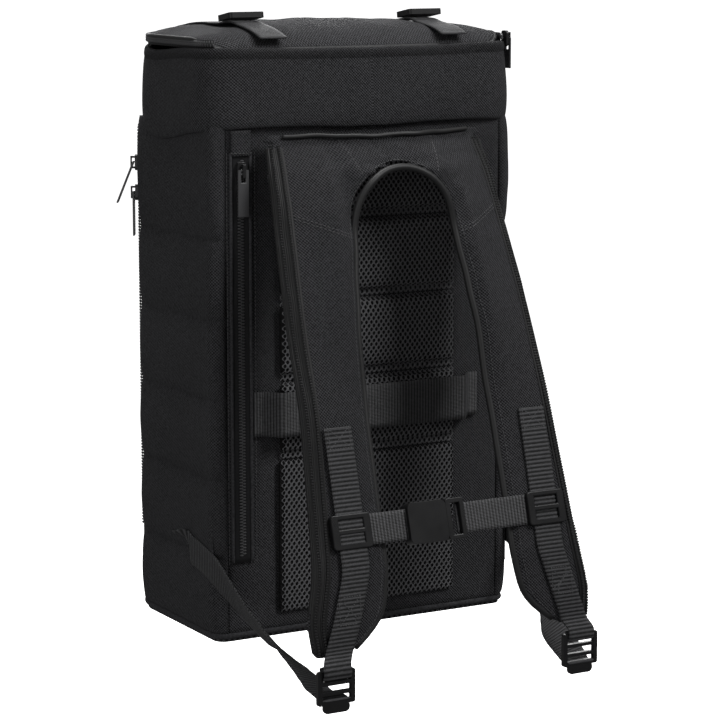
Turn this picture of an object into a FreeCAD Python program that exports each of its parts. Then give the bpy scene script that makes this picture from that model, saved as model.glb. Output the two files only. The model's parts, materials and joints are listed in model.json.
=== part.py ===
import FreeCAD, Part
import math
import os

import Sketcher
from FreeCAD import Placement, Rotation, Vector

# A boxy racket backpack: hooded collar, zipped lid, zipped front door, side
# zip, quilted back, padded harness with a chest strap.  Millimetres, +Z up,
# -Y towards the wearer, +X to the wearer's right.  Places are worked out from
# the middle of the pack's base; the finished pieces are then moved so that
# the origin is the point of the carry loop that hangs on a hook.

# ---------------------------------------------------------------- sizes
DRIVING = {
    "pack_width": 288,
    "pack_depth": 172,
    "wall": 4,
    "rear_radius": 12,
    "front_radius": 38,
    "collar_base": 430,
    "collar_tall": 67,
    "collar_proud": 6,
    "collar_wall": 9,
    "collar_front_radius": 46,
    "lid_rise": 12,
    "lid_wall": 4,
    "lid_inset": 34,
    "zip_height": 5,
    "door_base": 72,
    "door_zip": 12,
    "gap": 0.5,
    "cloth": 1.6,
    "board": 3,
    "laptop_room": 18,
    "divider_place": 22,
    "wing": 44,
    "mesh_thick": 8,
    "mesh_groove": 5,
    "mesh_top_gap": 12,
    "mesh_pitch": 67,
    "luggage_width": 38,
    "luggage_base": 172,
    "luggage_lift": 15,
    "tape_half": 9,
    "seam": 3,
    "side_zip_base": 72,
    "side_zip_top_gap": 26,
    "chain": 6,
    "webbing": 25,
    "strap_edge": 5,
    "web_lift": 3,
    "lock_width": 34,
    "slider_width": 36,
    "slider_tall": 28,
    "buckle_width": 34,
    "buckle_thick": 11,
    "socket_long": 36,
    "plug_long": 18,
    "prong_long": 25,
    "pull_width": 10,
    "pull_long": 38,
    "gear_strap_place": 87,
}

doc = FreeCAD.newDocument("racket_backpack")
sheet = doc.addObject("Spreadsheet::Sheet", "Sizes")
for row, (alias, value) in enumerate(DRIVING.items(), 1):
    sheet.set(f"A{row}", alias)
    sheet.set(f"B{row}", str(value))
    sheet.setAlias(f"B{row}", alias)
doc.recompute()


class Size:
    """A length with the sheet expression that gives it, so sums stay bound to the sheet."""

    def __init__(self, number, text):
        self.number = float(number)
        self.text = text

    def __float__(self):
        return self.number

    def __neg__(self):
        return 0 - self

    def __add__(self, other):
        return combine(self, "+", other, float(self) + float(other))

    def __radd__(self, other):
        return combine(other, "+", self, float(other) + float(self))

    def __sub__(self, other):
        return combine(self, "-", other, float(self) - float(other))

    def __rsub__(self, other):
        return combine(other, "-", self, float(other) - float(self))

    def __mul__(self, other):
        return combine(self, "*", other, float(self) * float(other))

    __rmul__ = __mul__

    def __truediv__(self, other):
        return combine(self, "/", other, float(self) / float(other))


def words(value):
    """The expression text of a length or of a plain number."""
    return value.text if isinstance(value, Size) else repr(float(value))


def combine(first, sign, second, number):
    return Size(number, f"({words(first)} {sign} {words(second)})")


def size(alias):
    return Size(float(getattr(sheet, alias)), f"Sizes.{alias}")


WIDTH = size("pack_width")
DEPTH = size("pack_depth")
WALL = size("wall")
REAR = size("rear_radius")
FRONT = size("front_radius")
COLLAR_BASE = size("collar_base")
COLLAR_TOP = COLLAR_BASE + size("collar_tall")
PROUD = size("collar_proud")
GAP = size("gap")
CLOTH = size("cloth")
CHAIN = size("chain")
WEBBING = size("webbing")
WEB_LIFT = size("web_lift")
PULL_WIDTH = size("pull_width")
PULL_LONG = size("pull_long")
DOOR_BASE = size("door_base")
DOOR_ZIP = size("door_zip")
MESH_THICK = size("mesh_thick")
SLIDER_TALL = size("slider_tall")
BUCKLE_WIDTH = size("buckle_width")
BUCKLE_THICK = size("buckle_thick")
PRONG_LONG = size("prong_long")

BACK = -DEPTH / 2
SIDE = WIDTH / 2
FLAT = SIDE - REAR
MESH_HALF = FLAT - size("wing")
MESH_TOP = COLLAR_BASE - size("mesh_top_gap")
TAPE_HALF = size("tape_half")
SIDE_ZIP = FLAT - TAPE_HALF - size("seam")
SIDE_ZIP_TOP = COLLAR_BASE - size("side_zip_top_gap")

# The front surface of the harness: drop below the collar, inner X, stand-off
# there, outer X, stand-off there, thickness.  Stand-offs are from the back, and
# the topmost outer edge passes in front of the back pads.
STRAP = [
    (4, 44, 18, 103, float(MESH_THICK) + 2, 5),
    (30, 47, 48, 108, 20, 8),
    (78, 50, 74, 113, 42, 12),
    (150, 56, 94, 119, 74, 13),
    (225, 56, 108, 121, 108, 13),
    (345, 58, 142, 129, 142, 13),
    (385, 66, 148, 137, 148, 13),
    (416, 96, 151, 136, 151, 9),
]
# The straight stretch that the chest strap slides along, as rows of the table.
SLIDE_ROWS = (4, 5)

# The yoke's bridge: drop below the collar and stand-off of its front.
LOOP_MID = [(4, 28), (30, 62), (78, 78)]
LOOP_RADIUS = 48
LOOP_CENTRE = COLLAR_BASE - 78
LOOP_THICK = 5
LOOP_HALF = 43.5

# The hook bears on the lower edge of the carry loop, in the middle of its cloth.
HANG = (0, BACK - (LOOP_MID[1][1] - LOOP_THICK / 2), LOOP_CENTRE + LOOP_RADIUS)

finished = []


# ---------------------------------------------------------------- tools
def place(piece, x, y, z, rotation=Rotation()):
    """Puts a piece at a point of the pack, its base bound to the sheet."""
    spot = [x - HANG[0], y - HANG[1], z - HANG[2]]
    piece.Placement = Placement(Vector(*[float(part) for part in spot]), rotation)
    for letter, part in zip("xyz", spot):
        piece.setExpression(f"Placement.Base.{letter}", words(part))
    return piece


def bind(piece, **lengths):
    for name, value in lengths.items():
        piece.setExpression(name, words(value))
    return piece


def keep(piece, label):
    """Marks a finished sub-part and names its file."""
    piece.Label = label
    finished.append(piece)
    return piece


def box(name, x, y, z, sizes, rotation=Rotation()):
    block = doc.addObject("Part::Box", name)
    bind(block, Length=sizes[0], Width=sizes[1], Height=sizes[2])
    return place(block, x, y, z, rotation)


def join(kind, name, base, tool):
    both = doc.addObject(f"Part::{kind}", name)
    both.Base = base
    both.Tool = tool
    return both


def solid(name, shape):
    piece = doc.addObject("Part::Feature", name)
    piece.Shape = shape
    return place(piece, 0, 0, 0)


def new_sketch(body, name, role, level=0):
    sketch = body.newObject("Sketcher::SketchObject", name)
    plane = next(part for part in body.Origin.OriginFeatures if part.Role == role)
    sketch.AttachmentSupport = (plane, [""])
    sketch.MapMode = "FlatFace"
    sketch.AttachmentOffset = Placement(Vector(0, 0, float(level)), Rotation())
    sketch.setExpression("AttachmentOffset.Base.z", words(level))
    return sketch


def dimension(sketch, kind, where, value, name):
    index = sketch.addConstraint(Sketcher.Constraint(kind, *where, float(value)))
    sketch.renameConstraint(index, name)
    sketch.setExpression(f"Constraints.{name}", words(value))


def rectangle(sketch, x0, x1, y0, y1, low_radius=None, high_radius=None):
    """A rectangle; its two low and two high corners can be rounded."""
    left, right, low, high = [float(edge) for edge in (x0, x1, y0, y1)]
    if low_radius is None:
        corners = [Vector(left, low), Vector(right, low), Vector(right, high), Vector(left, high)]
        for start in range(4):
            sketch.addGeometry(Part.LineSegment(corners[start], corners[(start + 1) % 4]), False)
        for start in range(4):
            sketch.addConstraint(Sketcher.Constraint("Coincident", start, 2, (start + 1) % 4, 1))
        lines = [0, 1, 2, 3]
    else:
        high_radius = low_radius if high_radius is None else high_radius
        radii = [float(low_radius), float(low_radius), float(high_radius), float(high_radius)]
        centres = [
            Vector(left + radii[0], low + radii[0]),
            Vector(right - radii[1], low + radii[1]),
            Vector(right - radii[2], high - radii[2]),
            Vector(left + radii[3], high - radii[3]),
        ]
        for corner in range(4):
            after = (corner + 1) % 4
            turn = Vector(math.sin(math.pi / 2 * corner), -math.cos(math.pi / 2 * corner))
            start = centres[corner] + turn * radii[corner]
            end = centres[after] + turn * radii[after]
            sketch.addGeometry(Part.LineSegment(start, end), False)
            circle = Part.Circle(centres[after], Vector(0, 0, 1), radii[after])
            first = math.pi / 2 * (corner - 1)
            sketch.addGeometry(Part.ArcOfCircle(circle, first, first + math.pi / 2), False)
        for edge in range(8):
            sketch.addConstraint(Sketcher.Constraint("Tangent", edge, 2, (edge + 1) % 8, 1))
        sketch.addConstraint(Sketcher.Constraint("Equal", 1, 7))
        sketch.addConstraint(Sketcher.Constraint("Equal", 3, 5))
        dimension(sketch, "Radius", (1,), low_radius, "low_radius")
        dimension(sketch, "Radius", (3,), high_radius, "high_radius")
        lines = [0, 2, 4, 6]
    for place_in_list, line in enumerate(lines):
        level = "Horizontal" if place_in_list % 2 == 0 else "Vertical"
        sketch.addConstraint(Sketcher.Constraint(level, line))
    dimension(sketch, "DistanceY", (-1, 1, lines[0], 1), y0, "low")
    dimension(sketch, "DistanceX", (-1, 1, lines[1], 1), x1, "right")
    dimension(sketch, "DistanceY", (-1, 1, lines[2], 1), y1, "high")
    dimension(sketch, "DistanceX", (-1, 1, lines[3], 1), x0, "left")


def plate(name, x, y, thick, radius=None, high_radius=None, role="XY_Plane", holes=()):
    """A padded rectangle with rounded corners and rectangular holes right through it."""
    body = doc.addObject("PartDesign::Body", name)
    outline = new_sketch(body, f"{name}_outline", role)
    rectangle(outline, *x, *y, radius, high_radius)
    pad = body.newObject("PartDesign::Pad", f"{name}_pad")
    pad.Profile = outline
    bind(pad, Length=thick)
    for count, (hole_x, hole_y) in enumerate(holes, 1):
        cut_out = new_sketch(body, f"{name}_hole_{count}", role)
        rectangle(cut_out, *hole_x, *hole_y)
        pocket = body.newObject("PartDesign::Pocket", f"{name}_pocket_{count}")
        pocket.Profile = cut_out
        pocket.Reversed = True
        pocket.Type = "ThroughAll"
    return body


def soften(body, radius, direction):
    """Rounds the edges of the plate's face that looks along direction."""
    doc.recompute()
    block = body.Tip
    faces = block.Shape.Faces
    far = max(range(len(faces)), key=lambda i: faces[i].CenterOfMass.dot(direction))
    fillet = body.newObject("PartDesign::Fillet", f"{body.Name}_soft_edge")
    fillet.Base = (block, [f"Face{far + 1}"])
    fillet.setExpression("Radius", words(radius))
    return body


def ring(name, grow, thick, height, front_radius):
    """An upright tube that follows the pack's outline, grow outside it."""
    body = doc.addObject("PartDesign::Body", name)
    for inside, kind in ((0, "Pad"), (thick, "Pocket")):
        half_x = SIDE + grow - inside
        half_y = DEPTH / 2 + grow - inside
        sketch = new_sketch(body, f"{name}_{kind}_outline", "XY_Plane")
        rectangle(sketch, -half_x, half_x, -half_y, half_y, REAR + grow - inside, front_radius - inside)
        feature = body.newObject(f"PartDesign::{kind}", f"{name}_{kind}")
        feature.Profile = sketch
        if kind == "Pad":
            bind(feature, Length=height)
        else:
            feature.Reversed = True
            feature.Type = "ThroughAll"
    return body


def loft(sections):
    """A solid through four-cornered sections, straight between one section and the next."""
    wires = [Part.makePolygon([Vector(*corner) for corner in four + four[:1]]) for four in sections]
    return Part.makeLoft(wires, True, True)


def mirrored(shape):
    return shape.mirror(Vector(0, 0, 0), Vector(1, 0, 0))


# ---------------------------------------------------------------- the bag
def make_shell():
    """Bottom, back, sides and front walls, cut from one tube of padded cloth."""
    tube = place(ring("wall_tube", 0, WALL, COLLAR_BASE - WALL, FRONT), 0, 0, WALL)
    zone = box("side_zone", -SIDE - 1, BACK - 1, 0, (REAR + 1, FRONT_CUT - BACK + 1, COLLAR_BASE))
    keep(join("Common", "side_panel_left", tube, zone), "side_panel_left")
    zone = box("right_zone", SIDE - REAR, BACK - 1, 0, (REAR + 1, FRONT_CUT - BACK + 1, COLLAR_BASE))
    keep(join("Common", "side_panel_right", tube, zone), "side_panel_right")
    room = (WIDTH + 2, FRONT + 2, DOOR_BASE - WALL - 1)
    zone = box("sill_zone", -SIDE - 1, FRONT_CUT, WALL, room)
    keep(join("Common", "front_lower_panel", tube, zone), "front_lower_panel")
    room = (WIDTH + 2, FRONT + 2, COLLAR_BASE - DOOR_ZIP - DOOR_BASE)
    zone = box("door_zone", -SIDE - 1, DOOR_CUT, DOOR_BASE, room)
    keep(join("Common", "front_door", tube, zone), "front_door")
    cover = plate("back_cover", (-FLAT, FLAT), (WALL, COLLAR_BASE), WALL, role="XZ_Plane")
    keep(place(cover, 0, BACK + WALL, 0), "back_cover")
    floor = plate("bottom_panel", (-SIDE, SIDE), (BACK, -BACK), WALL, REAR, FRONT)
    keep(place(floor, 0, 0, 0), "bottom_panel")


def arc_cut(degrees):
    """The Y at which the front corner has turned by that angle."""
    return DEPTH / 2 - FRONT + FRONT * math.sin(math.radians(degrees))


ZIP_ANGLES = (22, 38)
CHAIN_ANGLES = (27, 33)
FRONT_CUT = arc_cut(ZIP_ANGLES[0])
DOOR_CUT = arc_cut(ZIP_ANGLES[1])


def make_front_zip():
    """The arch-shaped zip round the door: up one side, under the collar, down the other."""
    height = COLLAR_BASE - DOOR_BASE
    chain_drop = (DOOR_ZIP - CHAIN) / 2
    for label, grow, thick, low, high, top in (
        ("front_zip_tape", -1, 1.2, FRONT_CUT, DOOR_CUT - GAP, DOOR_ZIP - GAP),
        ("front_zip_teeth", 1, 2, arc_cut(CHAIN_ANGLES[0]), arc_cut(CHAIN_ANGLES[1]), DOOR_ZIP - chain_drop),
    ):
        tube = place(ring(f"{label}_tube", grow, thick, height, FRONT + grow), 0, 0, DOOR_BASE)
        head = 0 if label == "front_zip_tape" else chain_drop
        zone = box(f"{label}_zone", -SIDE - 5, low, DOOR_BASE, (WIDTH + 10, FRONT + 5, height - head))
        arch = join("Common", f"{label}_arch", tube, zone)
        room = (WIDTH + 10, FRONT + 5, height - top + 1)
        window = box(f"{label}_window", -SIDE - 5, high, DOOR_BASE - 1, room)
        keep(join("Cut", label, arch, window), label)


def make_collar():
    height = COLLAR_TOP - COLLAR_BASE
    collar = ring("collar", PROUD, size("collar_wall"), height, size("collar_front_radius"))
    keep(place(collar, 0, 0, COLLAR_BASE), "collar")
    rim = ring("lid_zip_tube", PROUD - 3, 3, size("zip_height"), size("collar_front_radius") - 3)
    place(rim, 0, 0, COLLAR_TOP)
    zone = box("lid_zip_zone", -SIDE - 9, BACK + REAR, COLLAR_TOP - 1, (WIDTH + 18, DEPTH + 9, 9))
    keep(join("Common", "lid_zip_teeth", rim, zone), "lid_zip_teeth")


def make_inside():
    """Stiff back board and base board, laptop sleeve and the wall before the racket room."""
    inner = SIDE - WALL - GAP
    low = WALL + GAP
    board = plate("back_board", (GAP - FLAT, FLAT - GAP), (low, COLLAR_BASE), size("board"), role="XZ_Plane")
    keep(place(board, 0, BACK + WALL + GAP + size("board"), 0), "back_board")
    behind = BACK + WALL + GAP + size("board")
    sleeve = plate("laptop_sleeve", (-inner, inner), (low + 22, COLLAR_BASE - 90), 3, 12, role="XZ_Plane")
    keep(place(sleeve, 0, behind + size("laptop_room") + 3, 0), "laptop_sleeve")
    divider = plate("divider_wall", (-inner, inner), (low, COLLAR_BASE - 2), 2, role="XZ_Plane")
    keep(place(divider, 0, size("divider_place") + 2, 0), "divider_wall")
    reach = size("divider_place") - behind - GAP * 2
    base = plate("base_board", (-inner + 8, inner - 8), (0, reach), size("board"), 8)
    keep(place(base, 0, behind + GAP, low), "base_board")


def make_back_pads():
    """Four puffed mesh pads above and behind the luggage strap, and a flat mesh below."""
    pitch = size("mesh_pitch")
    for count in range(4):
        high = MESH_TOP - pitch * count
        pad = plate(
            f"mesh_pad_{count + 1}",
            (-MESH_HALF, MESH_HALF),
            (high - pitch + size("mesh_groove"), high),
            MESH_THICK,
            10,
            role="XZ_Plane",
        )
        soften(pad, MESH_THICK / 2, Vector(0, -1, 0))
        keep(place(pad, 0, BACK, 0), f"mesh_pad_{count + 1}")
    top = MESH_TOP - pitch * 4
    lower = plate("mesh_panel_lower", (-MESH_HALF, MESH_HALF), (18, top), 4, 10, role="XZ_Plane")
    keep(place(lower, 0, BACK, 0), "mesh_panel_lower")


def make_luggage_strap():
    """A wide webbing sleeve sewn down at both ends, for a suitcase handle."""
    sewn = float(SIDE_ZIP - TAPE_HALF) - 1
    rise = float(MESH_HALF) + 2
    lift = float(size("luggage_lift"))
    cloth = float(CLOTH)
    near = float(BACK)
    ramp = 10
    half_outer = [(rise, -lift), (rise + ramp, -cloth), (sewn, -cloth)]
    half_inner = [(sewn, 0), (rise + ramp - cloth, 0), (rise - 1, cloth - lift)]
    half = half_outer + half_inner
    outline = half + [(-x, y) for x, y in half[::-1]]
    corners = [Vector(x, near + y, float(size("luggage_base"))) for x, y in outline]
    face = Part.Face(Part.makePolygon(corners + corners[:1]))
    band = face.extrude(Vector(0, 0, float(size("luggage_width"))))
    keep(solid("luggage_strap", band), "luggage_strap")


def make_side_zip():
    """The upright access zip on the back's left wing, with a fabric garage over its top."""
    across = SIDE_ZIP
    low = size("side_zip_base")
    high = SIDE_ZIP_TOP
    tape = plate("side_zip_tape", (-TAPE_HALF, TAPE_HALF), (low - 6, high + 6), 1, role="XZ_Plane")
    keep(place(tape, -across, BACK, 0), "side_zip_tape")
    teeth = plate("side_zip_teeth", (-CHAIN / 2, CHAIN / 2), (low, high), 1.5, role="XZ_Plane")
    keep(place(teeth, -across, BACK - 1, 0), "side_zip_teeth")
    garage = plate("zip_garage", (-TAPE_HALF, TAPE_HALF), (high + 7, COLLAR_BASE - 1), 3, role="XZ_Plane")
    keep(place(garage, -across, BACK, 0), "zip_garage")


def make_gussets_and_webbing():
    """A triangle of cloth sewn in each rear seam, and the webbing that runs to the strap's end."""
    side = float(SIDE)
    near = float(BACK)
    corners = [(near + 8, 99), (near + 8, 36), (near + 54, 58), (near + 54, 82)]
    face = Part.Face(Part.makePolygon([Vector(-side, y, z) for y, z in corners + corners[:1]]))
    gusset = face.extrude(Vector(-2, 0, 0))
    wide = float(WEBBING) / 2
    lock_y, lock_z = lock_axis()
    # Middle of the ribbon and the direction across it, from the gusset to the strap's end.
    route = [
        ((-side - 3.4, near + 50, 74), (0, 0.35, 1), (-1, 0, 0)),
        ((-side - 3.4, near - 2, 62), (0, 0.35, 1), (-1, 0, 0)),
        ((-side + 2, near - 62, 30), (-0.35, 0.35, 0.87), (-0.9, -0.2, -0.3)),
        ((6 - LOCK_PLACE - wide, lock_y + 50, lock_z - 7), (-0.8, 0.2, 0.5), (-0.5, -0.4, -0.7)),
        ((-LOCK_PLACE - 4, lock_y + 19, lock_z - 20), (-0.98, 0.0, 0.2), (-0.2, -0.4, -0.9)),
    ]
    sections = []
    for middle, across, out in route:
        centre = Vector(*middle)
        across = Vector(*across).normalize() * wide
        out = Vector(*out).normalize() * (float(CLOTH) / 2)
        low_edge = centre - across
        high_edge = centre + across
        sections.append([low_edge - out, high_edge - out, high_edge + out, low_edge + out])
    ribbon = loft(sections)
    for label, shape in (("anchor_gusset", gusset), ("lower_webbing", ribbon)):
        keep(solid(f"{label}_left", shape), f"{label}_left")
        keep(solid(f"{label}_right", mirrored(shape)), f"{label}_right")


# ---------------------------------------------------------------- the lid
def lid_profile(rise):
    """The lid's section from its front rim over the crown to its rear rim, rise above its cloth."""
    rim = float(DEPTH / 2 + PROUD - 3)
    crown = rim - float(size("lid_inset"))
    low = float(LID_BASE)
    high = low + float(size("lid_rise"))
    return [(rim - 3, low + 2 + rise), (crown, high + rise), (-crown, high + rise), (3 - rim, low + 2 + rise)]


LID_BASE = COLLAR_TOP + size("zip_height") + GAP


def make_lid():
    """A shallow domed panel, with two webbing straps and their ladder buckles for outside gear."""
    inset = float(size("lid_inset"))
    half_x = float(SIDE + PROUD - 3)
    half_y = float(DEPTH / 2 + PROUD - 3)
    high = float(LID_BASE + size("lid_rise"))
    shells = []
    for inside in (0, float(size("lid_wall"))):
        levels = ((float(LID_BASE) - (1 if inside else 0), inside), (high - inside, inset + inside / 2))
        sections = []
        for level, smaller in levels:
            x = half_x - smaller
            y = half_y - smaller
            sections.append([(-x, -y, level), (x, -y, level), (x, y, level), (-x, y, level)])
        shells.append(loft(sections))
    dome = shells[0].cut(shells[1])
    corner = size("collar_front_radius") - 3
    outline = plate("lid_outline", (-half_x, half_x), (-half_y, half_y), 30, REAR, corner)
    place(outline, 0, 0, LID_BASE)
    keep(join("Common", "lid_panel", solid("lid_dome", dome), outline), "lid_panel")
    for side, name in ((-1, "left"), (1, "right")):
        middle = float(size("gear_strap_place")) * side
        half = float(WEBBING) / 2
        low_path = lid_profile(0.8)
        high_path = lid_profile(0.8 + float(CLOTH))
        corners = [Vector(middle - half, y, z) for y, z in low_path + high_path[::-1]]
        band = Part.Face(Part.makePolygon(corners + corners[:1])).extrude(Vector(2 * half, 0, 0))
        keep(solid(f"gear_strap_{name}", band), f"gear_strap_{name}")
        wide = WEBBING / 2 + 4
        window = WEBBING / 2 + 0.5
        rows = ((-9, -5), (-1.5, 1.5), (5, 9))
        holes = [((-window, window), row) for row in rows]
        buckle = plate(f"gear_buckle_{name}", (-wide, wide), (-12, 12), 4, 3, holes=holes)
        lift = LID_BASE + size("lid_rise") + 0.8 + CLOTH + GAP
        keep(place(buckle, middle, -26, lift), f"gear_buckle_{name}")


# ---------------------------------------------------------------- the harness
def strap_section(row, inset_in, inset_out, lift, thick):
    """Four corners of the strap at one height, between two insets from its edges."""
    drop, inner, inner_off, outer, outer_off, _ = row
    height = float(COLLAR_BASE) - drop
    slope = (outer_off - inner_off) / (outer - inner)
    out = Vector(slope, 1, 0).normalize()
    near = float(BACK)
    corners = []
    for x in (inner + inset_in, outer - inset_out):
        front = Vector(x, near - inner_off - slope * (x - inner), height)
        corners.append((front - out * lift, front - out * (lift - thick)))
    (front_in, back_in), (front_out, back_out) = corners
    return [front_in, front_out, back_out, back_in]


def make_straps():
    """Two padded straps with a bound outer edge."""
    edge = float(size("strap_edge"))
    thinner = 0.7
    pads = [strap_section(row, 0, edge + 0.3, 0, row[5]) for row in STRAP]
    bounds = [strap_section(row, row[3] - row[1] - edge, 0, -1, row[5] * thinner) for row in STRAP]
    for label, sections in (("shoulder_strap", pads), ("strap_binding", bounds)):
        right = loft(sections)
        keep(solid(f"{label}_right", right), f"{label}_right")
        keep(solid(f"{label}_left", mirrored(right)), f"{label}_left")


def make_yoke():
    """The short bridge between the straps: its free upper edge makes it the carry loop."""
    sections = []
    for drop, standoff in LOOP_MID:
        front = float(BACK) - standoff
        level = float(COLLAR_BASE) - drop
        behind = front + LOOP_THICK
        edges = ((-LOOP_HALF, front), (LOOP_HALF, front), (LOOP_HALF, behind), (-LOOP_HALF, behind))
        sections.append([(x, y, level) for x, y in edges])
    saddle = loft(sections)
    start = Vector(0, float(BACK) - 150, float(LOOP_CENTRE))
    opening = Part.makeCylinder(LOOP_RADIUS, 200, start, Vector(0, 1, 0))
    keep(solid("yoke_bridge", saddle.cut(opening)), "yoke_bridge")


SLIDE_TOP, SLIDE_LOW = [STRAP[row] for row in SLIDE_ROWS]
LEAN = math.degrees(math.atan2(SLIDE_LOW[2] - SLIDE_TOP[2], SLIDE_LOW[0] - SLIDE_TOP[0]))
WEB_PLACE = 93
SLIDER_DROP = 315
LOCK_PLACE = 117
LOCK_DROP = 422
BAR_HALF = 2
LOOP_ROOM = 3.2


def strap_front(drop):
    """Stand-off of the strap's front surface on its lower half, at a drop below the collar."""
    rows = STRAP[SLIDE_ROWS[0]:]
    for above, below in zip(rows, rows[1:]):
        if drop <= below[0]:
            share = (drop - above[0]) / (below[0] - above[0])
            return above[2] + (below[2] - above[2]) * share
    return rows[-1][2]


def make_strap_webbing():
    """The webbing on each strap's face, tacked at both ends and free between them."""
    near = float(BACK)
    lift = float(WEB_LIFT)
    cloth = float(CLOTH)
    half = float(WEBBING) / 2
    stations = [(232, WEB_PLACE), (SLIDE_LOW[0], WEB_PLACE), (385, 105), (408, 113)]
    sections = []
    for drop, middle in stations:
        front = near - strap_front(drop) - lift
        height = float(COLLAR_BASE) - drop
        low_edge = middle - half
        high_edge = middle + half
        sections.append(
            [
                (low_edge, front, height),
                (high_edge, front, height),
                (high_edge, front - cloth, height),
                (low_edge, front - cloth, height),
            ]
        )
    right = loft(sections)
    keep(solid("strap_webbing_right", right), "strap_webbing_right")
    keep(solid("strap_webbing_left", mirrored(right)), "strap_webbing_left")


def lock_axis():
    """The bar that each ladder lock hangs on, as Y and Z of its middle."""
    stand = LOOP_ROOM + float(CLOTH) + float(GAP)
    return float(BACK) - strap_front(LOCK_DROP) - stand, float(COLLAR_BASE) - LOCK_DROP


def make_lock_loops():
    """A tacked loop of webbing round each ladder lock's top bar."""
    y, z = lock_axis()
    inner = LOOP_ROOM
    outer = inner + float(CLOTH)
    tail = 9
    left = LOCK_PLACE - float(WEBBING) / 2
    ring_face = Part.makeCylinder(outer, float(WEBBING), Vector(left, y, z), Vector(1, 0, 0))
    hole = Part.makeCylinder(inner, float(WEBBING), Vector(left, y, z), Vector(1, 0, 0))
    upper = Part.makeBox(float(WEBBING), 2 * outer, outer, Vector(left, y - outer, z))
    loop = ring_face.cut(hole).cut(upper)
    for leg in (y - outer, y + inner):
        loop = loop.fuse(Part.makeBox(float(WEBBING), float(CLOTH), tail, Vector(left, leg, z)))
    loop = loop.removeSplitter()
    keep(solid("lock_loop_right", loop), "lock_loop_right")
    keep(solid("lock_loop_left", mirrored(loop)), "lock_loop_left")


def make_ladder_locks():
    """The plastic adjuster at the end of each strap: top bar, two ladder bars and a pull tab."""
    half = size("lock_width") / 2
    window = WEBBING / 2 + 0.5
    y, z = lock_axis()
    for side, name in ((-1, "left"), (1, "right")):
        holes = [((-window, window), row) for row in ((-7, -BAR_HALF), (-15, -10), (-22, -18))]
        tall = (-26, BAR_HALF)
        frame = plate(f"lock_frame_{name}", (-half, half), tall, 4, 2, role="XZ_Plane", holes=holes)
        place(frame, LOCK_PLACE * side, y + BAR_HALF, z)
        tab = plate(f"lock_tab_{name}", (-half + 5, half - 5), (-33, -24), 3, 4, role="XZ_Plane")
        place(tab, LOCK_PLACE * side, y + 1, z)
        keep(join("Fuse", f"ladder_lock_{name}", frame, tab), f"ladder_lock_{name}")


# ---------------------------------------------------------------- chest strap
def chest_turn():
    """Local X stays across the pack, local Y runs up the strap, local Z looks outwards."""
    return Rotation(Vector(1, 0, 0), 90 - LEAN)


def chest_point(across, along, out):
    """A place given in the leaning frame of the chest strap."""
    base = Vector(0, float(BACK) - strap_front(SLIDER_DROP), float(COLLAR_BASE) - SLIDER_DROP)
    spot = base + chest_turn().multVec(Vector(float(across), float(along), float(out)))
    return spot.x, spot.y, spot.z


def lean_place(piece, across, along, out):
    return place(piece, *chest_point(across, along, out), chest_turn())


def make_chest_sliders():
    """A plastic loop round each strap's webbing, with two front windows."""
    half = size("slider_width") / 2
    tall = SLIDER_TALL / 2
    window = WEBBING / 2 + 0.8
    back_gap = 0.5
    thick = 7.2
    for side, name in ((-1, "left"), (1, "right")):
        rows = ((-tall + 4, -2), (2, tall - 4))
        holes = [((-window + 2, window - 2), row) for row in rows]
        frame = plate(f"slider_frame_{name}", (-half, half), (-tall, tall), thick, 3, holes=holes)
        lean_place(frame, WEB_PLACE * side, 0, back_gap)
        channel_low = WEB_LIFT - 0.6
        channel = doc.addObject("Part::Box", f"slider_channel_{name}")
        bind(channel, Length=window * 2, Width=SLIDER_TALL + 2, Height=CLOTH + 1.2)
        lean_place(channel, WEB_PLACE * side - window, -tall - 1, channel_low)
        keep(join("Cut", f"chest_slider_{name}", frame, channel), f"chest_slider_{name}")


BUCKLE_MOUTH = -5
CHEST_LEVEL = 4


def make_chest_webbing():
    half = size("slider_width") / 2
    wide = WEBBING / 2
    reach = WEB_PLACE - half - GAP
    socket_end = BUCKLE_MOUTH - size("socket_long")
    plug_end = BUCKLE_MOUTH + size("plug_long")
    left = plate("chest_webbing_left", (-reach, socket_end - GAP), (-wide, wide), CLOTH)
    keep(lean_place(left, 0, 0, CHEST_LEVEL - CLOTH / 2), "chest_webbing_left")
    right = plate("chest_webbing_right", (plug_end + GAP, reach), (-wide, wide), CLOTH)
    keep(lean_place(right, 0, 0, CHEST_LEVEL - CLOTH / 2), "chest_webbing_right")


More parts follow.
